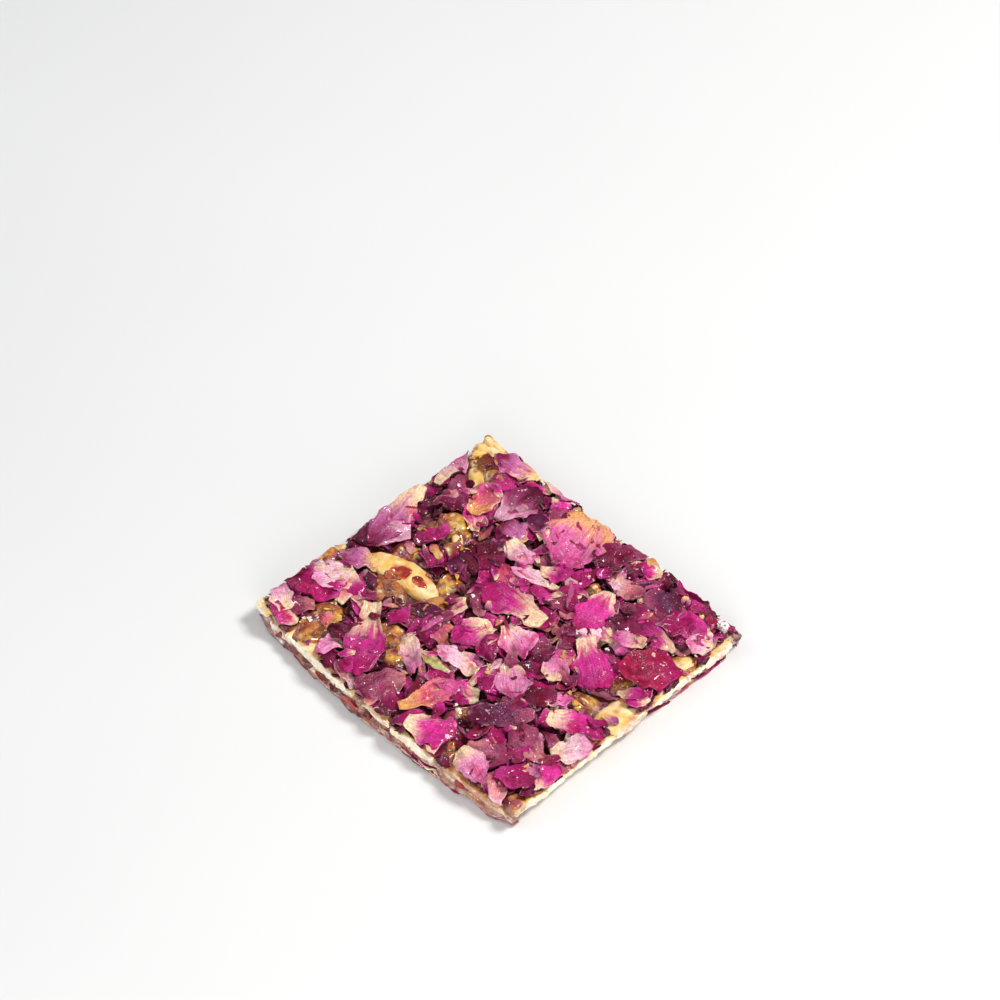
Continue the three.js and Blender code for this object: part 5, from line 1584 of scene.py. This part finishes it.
def build_sugar():
    """The sugar lump in place of its CAD node, the grains of the photo and many fine ones."""
    rng, pile = start_pile("sugar")
    low, high = node_box("sugar_lump")
    middle, radii = (low + high) / 2, (high - low) / 2
    white, dull = colour("sugar_white"), colour("pale_pink")
    ball = ball_points(7, 10)
    fine = ball_points(4, 6)
    add_lump(pile, rng, ball_points(9, 12), (*middle[:2], low[2]), radii * (1.1, 1.1, 1), white, white,
             sink=0.0)
    for _ in range(GRAINS_ON_LUMP):
        turn, lean = rng.uniform(0, 2 * np.pi), rng.uniform(0.1, 1.4)
        way = np.array([math.sin(lean) * math.cos(turn), math.sin(lean) * math.sin(turn), math.cos(lean)])
        size = rng.uniform(0.3, 0.6)
        at = middle + 0.75 * radii * way - (0, 0, size / 2)
        add_lump(pile, rng, ball_points(5, 7), at, (size,) * 3, white, dull, sink=0.25)
    place_piece(pile, "sugar_lump_far", "sugar_grain", ["sugar_lump"], smooth_faces=False)
    pile = Pile()
    for x, y, size in SUGAR_SPOTS:
        for _ in range(GRAINS_AT_SPOT):
            at_x, at_y = x + rng.normal() * size * 0.5, y + rng.normal() * size * 0.5
            part = size * rng.uniform(0.45, 0.8)
            add_lump(pile, rng, ball, on_top(at_x, at_y), (part, part * 0.7, part * 0.6), white, dull,
                     sink=0.25)
    for x, y in zip(*scattered(rng, bpy.context.scene.brittle_sizes.grains, 0.6)):
        size = rng.uniform(0.07, 0.17) if rng.uniform() < 0.9 else rng.uniform(0.17, 0.32)
        add_lump(pile, rng, fine, on_top(x, y), (size, size * 0.8, size * 0.8), white, dull, sink=0.2)
    place_piece(pile, "sugar_grains", "sugar_grain", smooth_faces=False)


# Stage: floor, lights and camera

CAMERA_AZIMUTH = math.radians(41.609)
CAMERA_ELEVATION = math.radians(48.956)
CAMERA_ROLL = math.radians(4.053)
CAMERA_DISTANCE = 0.86066
CAMERA_LENS = 144.0
ORIGIN_PIXEL = (499.34, 631.996)
PHOTO_SIDE = 1000
SENSOR = 36.0
FLOOR_HALF = 1.5
FLOOR_DROP = 2e-5
ROOM_COLOUR = (0.95, 0.97, 1.0, 1.0)
ROOM_STRENGTH = 0.34
# Soft lights: name, place, side, power and colour
LIGHTS = (
    ("key_window", (0.2, 0.36, 0.6), 0.18, 4.6, (1.0, 0.99, 0.97)),
    ("fill_window", (-0.4, -0.3, 0.5), 0.5, 1.2, (0.97, 0.985, 1.0)),
    ("low_window", (0.36, -0.38, 0.14), 0.4, 2.3, (1.0, 0.985, 0.96)))


def set_camera():
    """The camera looks along the photo's line of sight, rolled as the photo shows, and is shifted in
    its own plane so that the middle between the cuts falls on its place in the photo."""
    back = np.array([math.sin(CAMERA_AZIMUTH) * math.cos(CAMERA_ELEVATION),
                     -math.cos(CAMERA_AZIMUTH) * math.cos(CAMERA_ELEVATION), math.sin(CAMERA_ELEVATION)])
    right = np.cross((0, 0, 1), back)
    right /= np.linalg.norm(right)
    up = np.cross(back, right)
    cos, sin = math.cos(CAMERA_ROLL), math.sin(CAMERA_ROLL)
    rolled_right, rolled_up = right * cos + up * sin, up * cos - right * sin
    focal = CAMERA_LENS / SENSOR * PHOTO_SIDE
    off_x = (ORIGIN_PIXEL[0] - PHOTO_SIDE / 2) / focal * CAMERA_DISTANCE
    off_y = -(ORIGIN_PIXEL[1] - PHOTO_SIDE / 2) / focal * CAMERA_DISTANCE
    place = CAMERA_DISTANCE * back - off_x * rolled_right - off_y * rolled_up + CUTS_SHIFT * MM
    data = bpy.data.cameras.new("photo_camera")
    data.lens, data.sensor_width = CAMERA_LENS, SENSOR
    camera = bpy.data.objects.new("photo_camera", data)
    matrix = np.eye(4)
    matrix[:3] = np.column_stack([rolled_right, rolled_up, back, place])
    camera.matrix_world = Matrix(matrix.tolist())
    bpy.context.scene.collection.objects.link(camera)
    bpy.context.scene.camera = camera


def add_light(name, place, size, power, shade):
    """A square soft light that looks at the part."""
    data = bpy.data.lights.new(name, "AREA")
    data.shape, data.size, data.energy, data.color = "SQUARE", size, power, shade
    light = bpy.data.objects.new(name, data)
    light.location = place
    light.rotation_euler = (-Vector(place)).to_track_quat("-Z", "Y").to_euler()
    bpy.context.scene.collection.objects.link(light)


def build_stage():
    """A pale floor, soft lights and the camera."""
    scene = bpy.context.scene
    scene.view_settings.view_transform = "Standard"
    data = bpy.data.meshes.new("floor")
    corners = [(x * FLOOR_HALF, y * FLOOR_HALF, -FLOOR_DROP) for x, y in ((-1, -1), (1, -1), (1, 1), (-1, 1))]
    data.from_pydata(corners, [], [(0, 1, 2, 3)])
    made, wiring, shader, places = start_material("pale_floor")
    shade = wiring.ramp(wiring.noise(places, 6.0, 2.0), 0.3, 0.7, 0.72, 0.75)
    wiring.tree.links.new(wiring.grey(shade), shader.inputs["Base Color"])
    set_sockets(shader, {"Roughness": 0.55})
    data.materials.append(made)
    floor = bpy.data.objects.new("floor", data)
    scene.collection.objects.link(floor)
    world = bpy.data.worlds.new("soft_room")
    world.use_nodes = True
    set_sockets(world.node_tree.nodes["Background"], {"Color": ROOM_COLOUR, "Strength": ROOM_STRENGTH})
    scene.world = world
    for light in LIGHTS:
        add_light(*light)
    set_camera()


# Operators

class BRITTLE_OT_core(Operator):
    """Build the pressed mass of petals, nuts and hard sugar"""
    bl_idname = "brittle.core"
    bl_label = "Pressed mass"

    def execute(self, context):
        build_core()
        return {"FINISHED"}


class BRITTLE_OT_kernels(Operator):
    """Build the nuts that show on top and at the cuts"""
    bl_idname = "brittle.kernels"
    bl_label = "Kernels"

    def execute(self, context):
        build_kernels()
        return {"FINISHED"}


class BRITTLE_OT_flakes(Operator):
    """Cover the pressed mass with broken bits of petal"""
    bl_idname = "brittle.flakes"
    bl_label = "Flakes"

    def execute(self, context):
        build_flakes()
        return {"FINISHED"}


class BRITTLE_OT_toffee(Operator):
    """Add puddles of browned clear sugar"""
    bl_idname = "brittle.toffee"
    bl_label = "Toffee"

    def execute(self, context):
        build_toffee()
        return {"FINISHED"}


class BRITTLE_OT_pockets(Operator):
    """Fill the dents of the nut half and the hollows of the front cut with clear sugar"""
    bl_idname = "brittle.pockets"
    bl_label = "Sugar pockets"

    def execute(self, context):
        build_pockets()
        return {"FINISHED"}


class BRITTLE_OT_small_petals(Operator):
    """Lay the petals of middling size"""
    bl_idname = "brittle.small_petals"
    bl_label = "Small petals"

    def execute(self, context):
        build_small_petals()
        return {"FINISHED"}


class BRITTLE_OT_low_petals(Operator):
    """Lay the petals that lie partly under the large ones"""
    bl_idname = "brittle.low_petals"
    bl_label = "Low petals"

    def execute(self, context):
        build_low_petals()
        return {"FINISHED"}


class BRITTLE_OT_large_petals(Operator):
    """Lay the petals that show best"""
    bl_idname = "brittle.large_petals"
    bl_label = "Large petals"

    def execute(self, context):
        build_large_petals()
        return {"FINISHED"}


class BRITTLE_OT_rim_petals(Operator):
    """Lay small petals over the rims of the large ones"""
    bl_idname = "brittle.rim_petals"
    bl_label = "Rim petals"

    def execute(self, context):
        build_rim_petals()
        return {"FINISHED"}


class BRITTLE_OT_bits(Operator):
    """Strew small bits of petal on top"""
    bl_idname = "brittle.bits"
    bl_label = "Loose bits"

    def execute(self, context):
        build_loose_flakes()
        return {"FINISHED"}


class BRITTLE_OT_under(Operator):
    """Press petals flat under the mass"""
    bl_idname = "brittle.under"
    bl_label = "Underside petals"

    def execute(self, context):
        build_under_petals()
        return {"FINISHED"}


class BRITTLE_OT_edges(Operator):
    """Add the pressed layers that show at the cuts"""
    bl_idname = "brittle.edges"
    bl_label = "Cut layers"

    def execute(self, context):
        build_edge_layers()
        return {"FINISHED"}


class BRITTLE_OT_crumbs(Operator):
    """Strew nut crumbs on top"""
    bl_idname = "brittle.crumbs"
    bl_label = "Crumbs"

    def execute(self, context):
        build_crumbs()
        return {"FINISHED"}


class BRITTLE_OT_sugar(Operator):
    """Add the sugar lump and the sugar grains"""
    bl_idname = "brittle.sugar"
    bl_label = "Sugar"

    def execute(self, context):
        build_sugar()
        return {"FINISHED"}


class BRITTLE_OT_stage(Operator):
    """Set the floor, the lights and the camera"""
    bl_idname = "brittle.stage"
    bl_label = "Stage"

    def execute(self, context):
        build_stage()
        return {"FINISHED"}


OPERATORS = (
    BRITTLE_OT_stage, BRITTLE_OT_core, BRITTLE_OT_kernels, BRITTLE_OT_flakes, BRITTLE_OT_toffee,
    BRITTLE_OT_pockets, BRITTLE_OT_small_petals, BRITTLE_OT_low_petals, BRITTLE_OT_crumbs,
    BRITTLE_OT_large_petals, BRITTLE_OT_rim_petals, BRITTLE_OT_bits, BRITTLE_OT_under,
    BRITTLE_OT_edges, BRITTLE_OT_sugar)


class BRITTLE_PT_panel(Panel):
    """Sidebar panel with the steps in their order, the sizes and the colours."""
    bl_idname = "BRITTLE_PT_panel"
    bl_label = "Rose brittle"
    bl_space_type = "VIEW_3D"
    bl_region_type = "UI"
    bl_category = "Brittle"

    def draw(self, context):
        for operator in OPERATORS:
            self.layout.operator(operator.bl_idname)
        for group in (context.scene.brittle_sizes, context.scene.brittle_colours):
            for key in group.bl_rna.properties.keys():
                if key not in ("rna_type", "name"):
                    self.layout.prop(group, key)


CLASSES = (BrittleColours, BrittleSizes, *OPERATORS, BRITTLE_PT_panel)


def register():
    for item in CLASSES:
        bpy.utils.register_class(item)
    bpy.types.Scene.brittle_colours = PointerProperty(type=BrittleColours)
    bpy.types.Scene.brittle_sizes = PointerProperty(type=BrittleSizes)


def unregister():
    del bpy.types.Scene.brittle_sizes
    del bpy.types.Scene.brittle_colours
    for item in reversed(CLASSES):
        bpy.utils.unregister_class(item)


def main():
    """Builds the stage and every piece."""
    register()
    for operator in OPERATORS:
        group, name = operator.bl_idname.split(".")
        getattr(getattr(bpy.ops, group), name)()


if __name__ == "__main__":
    main()
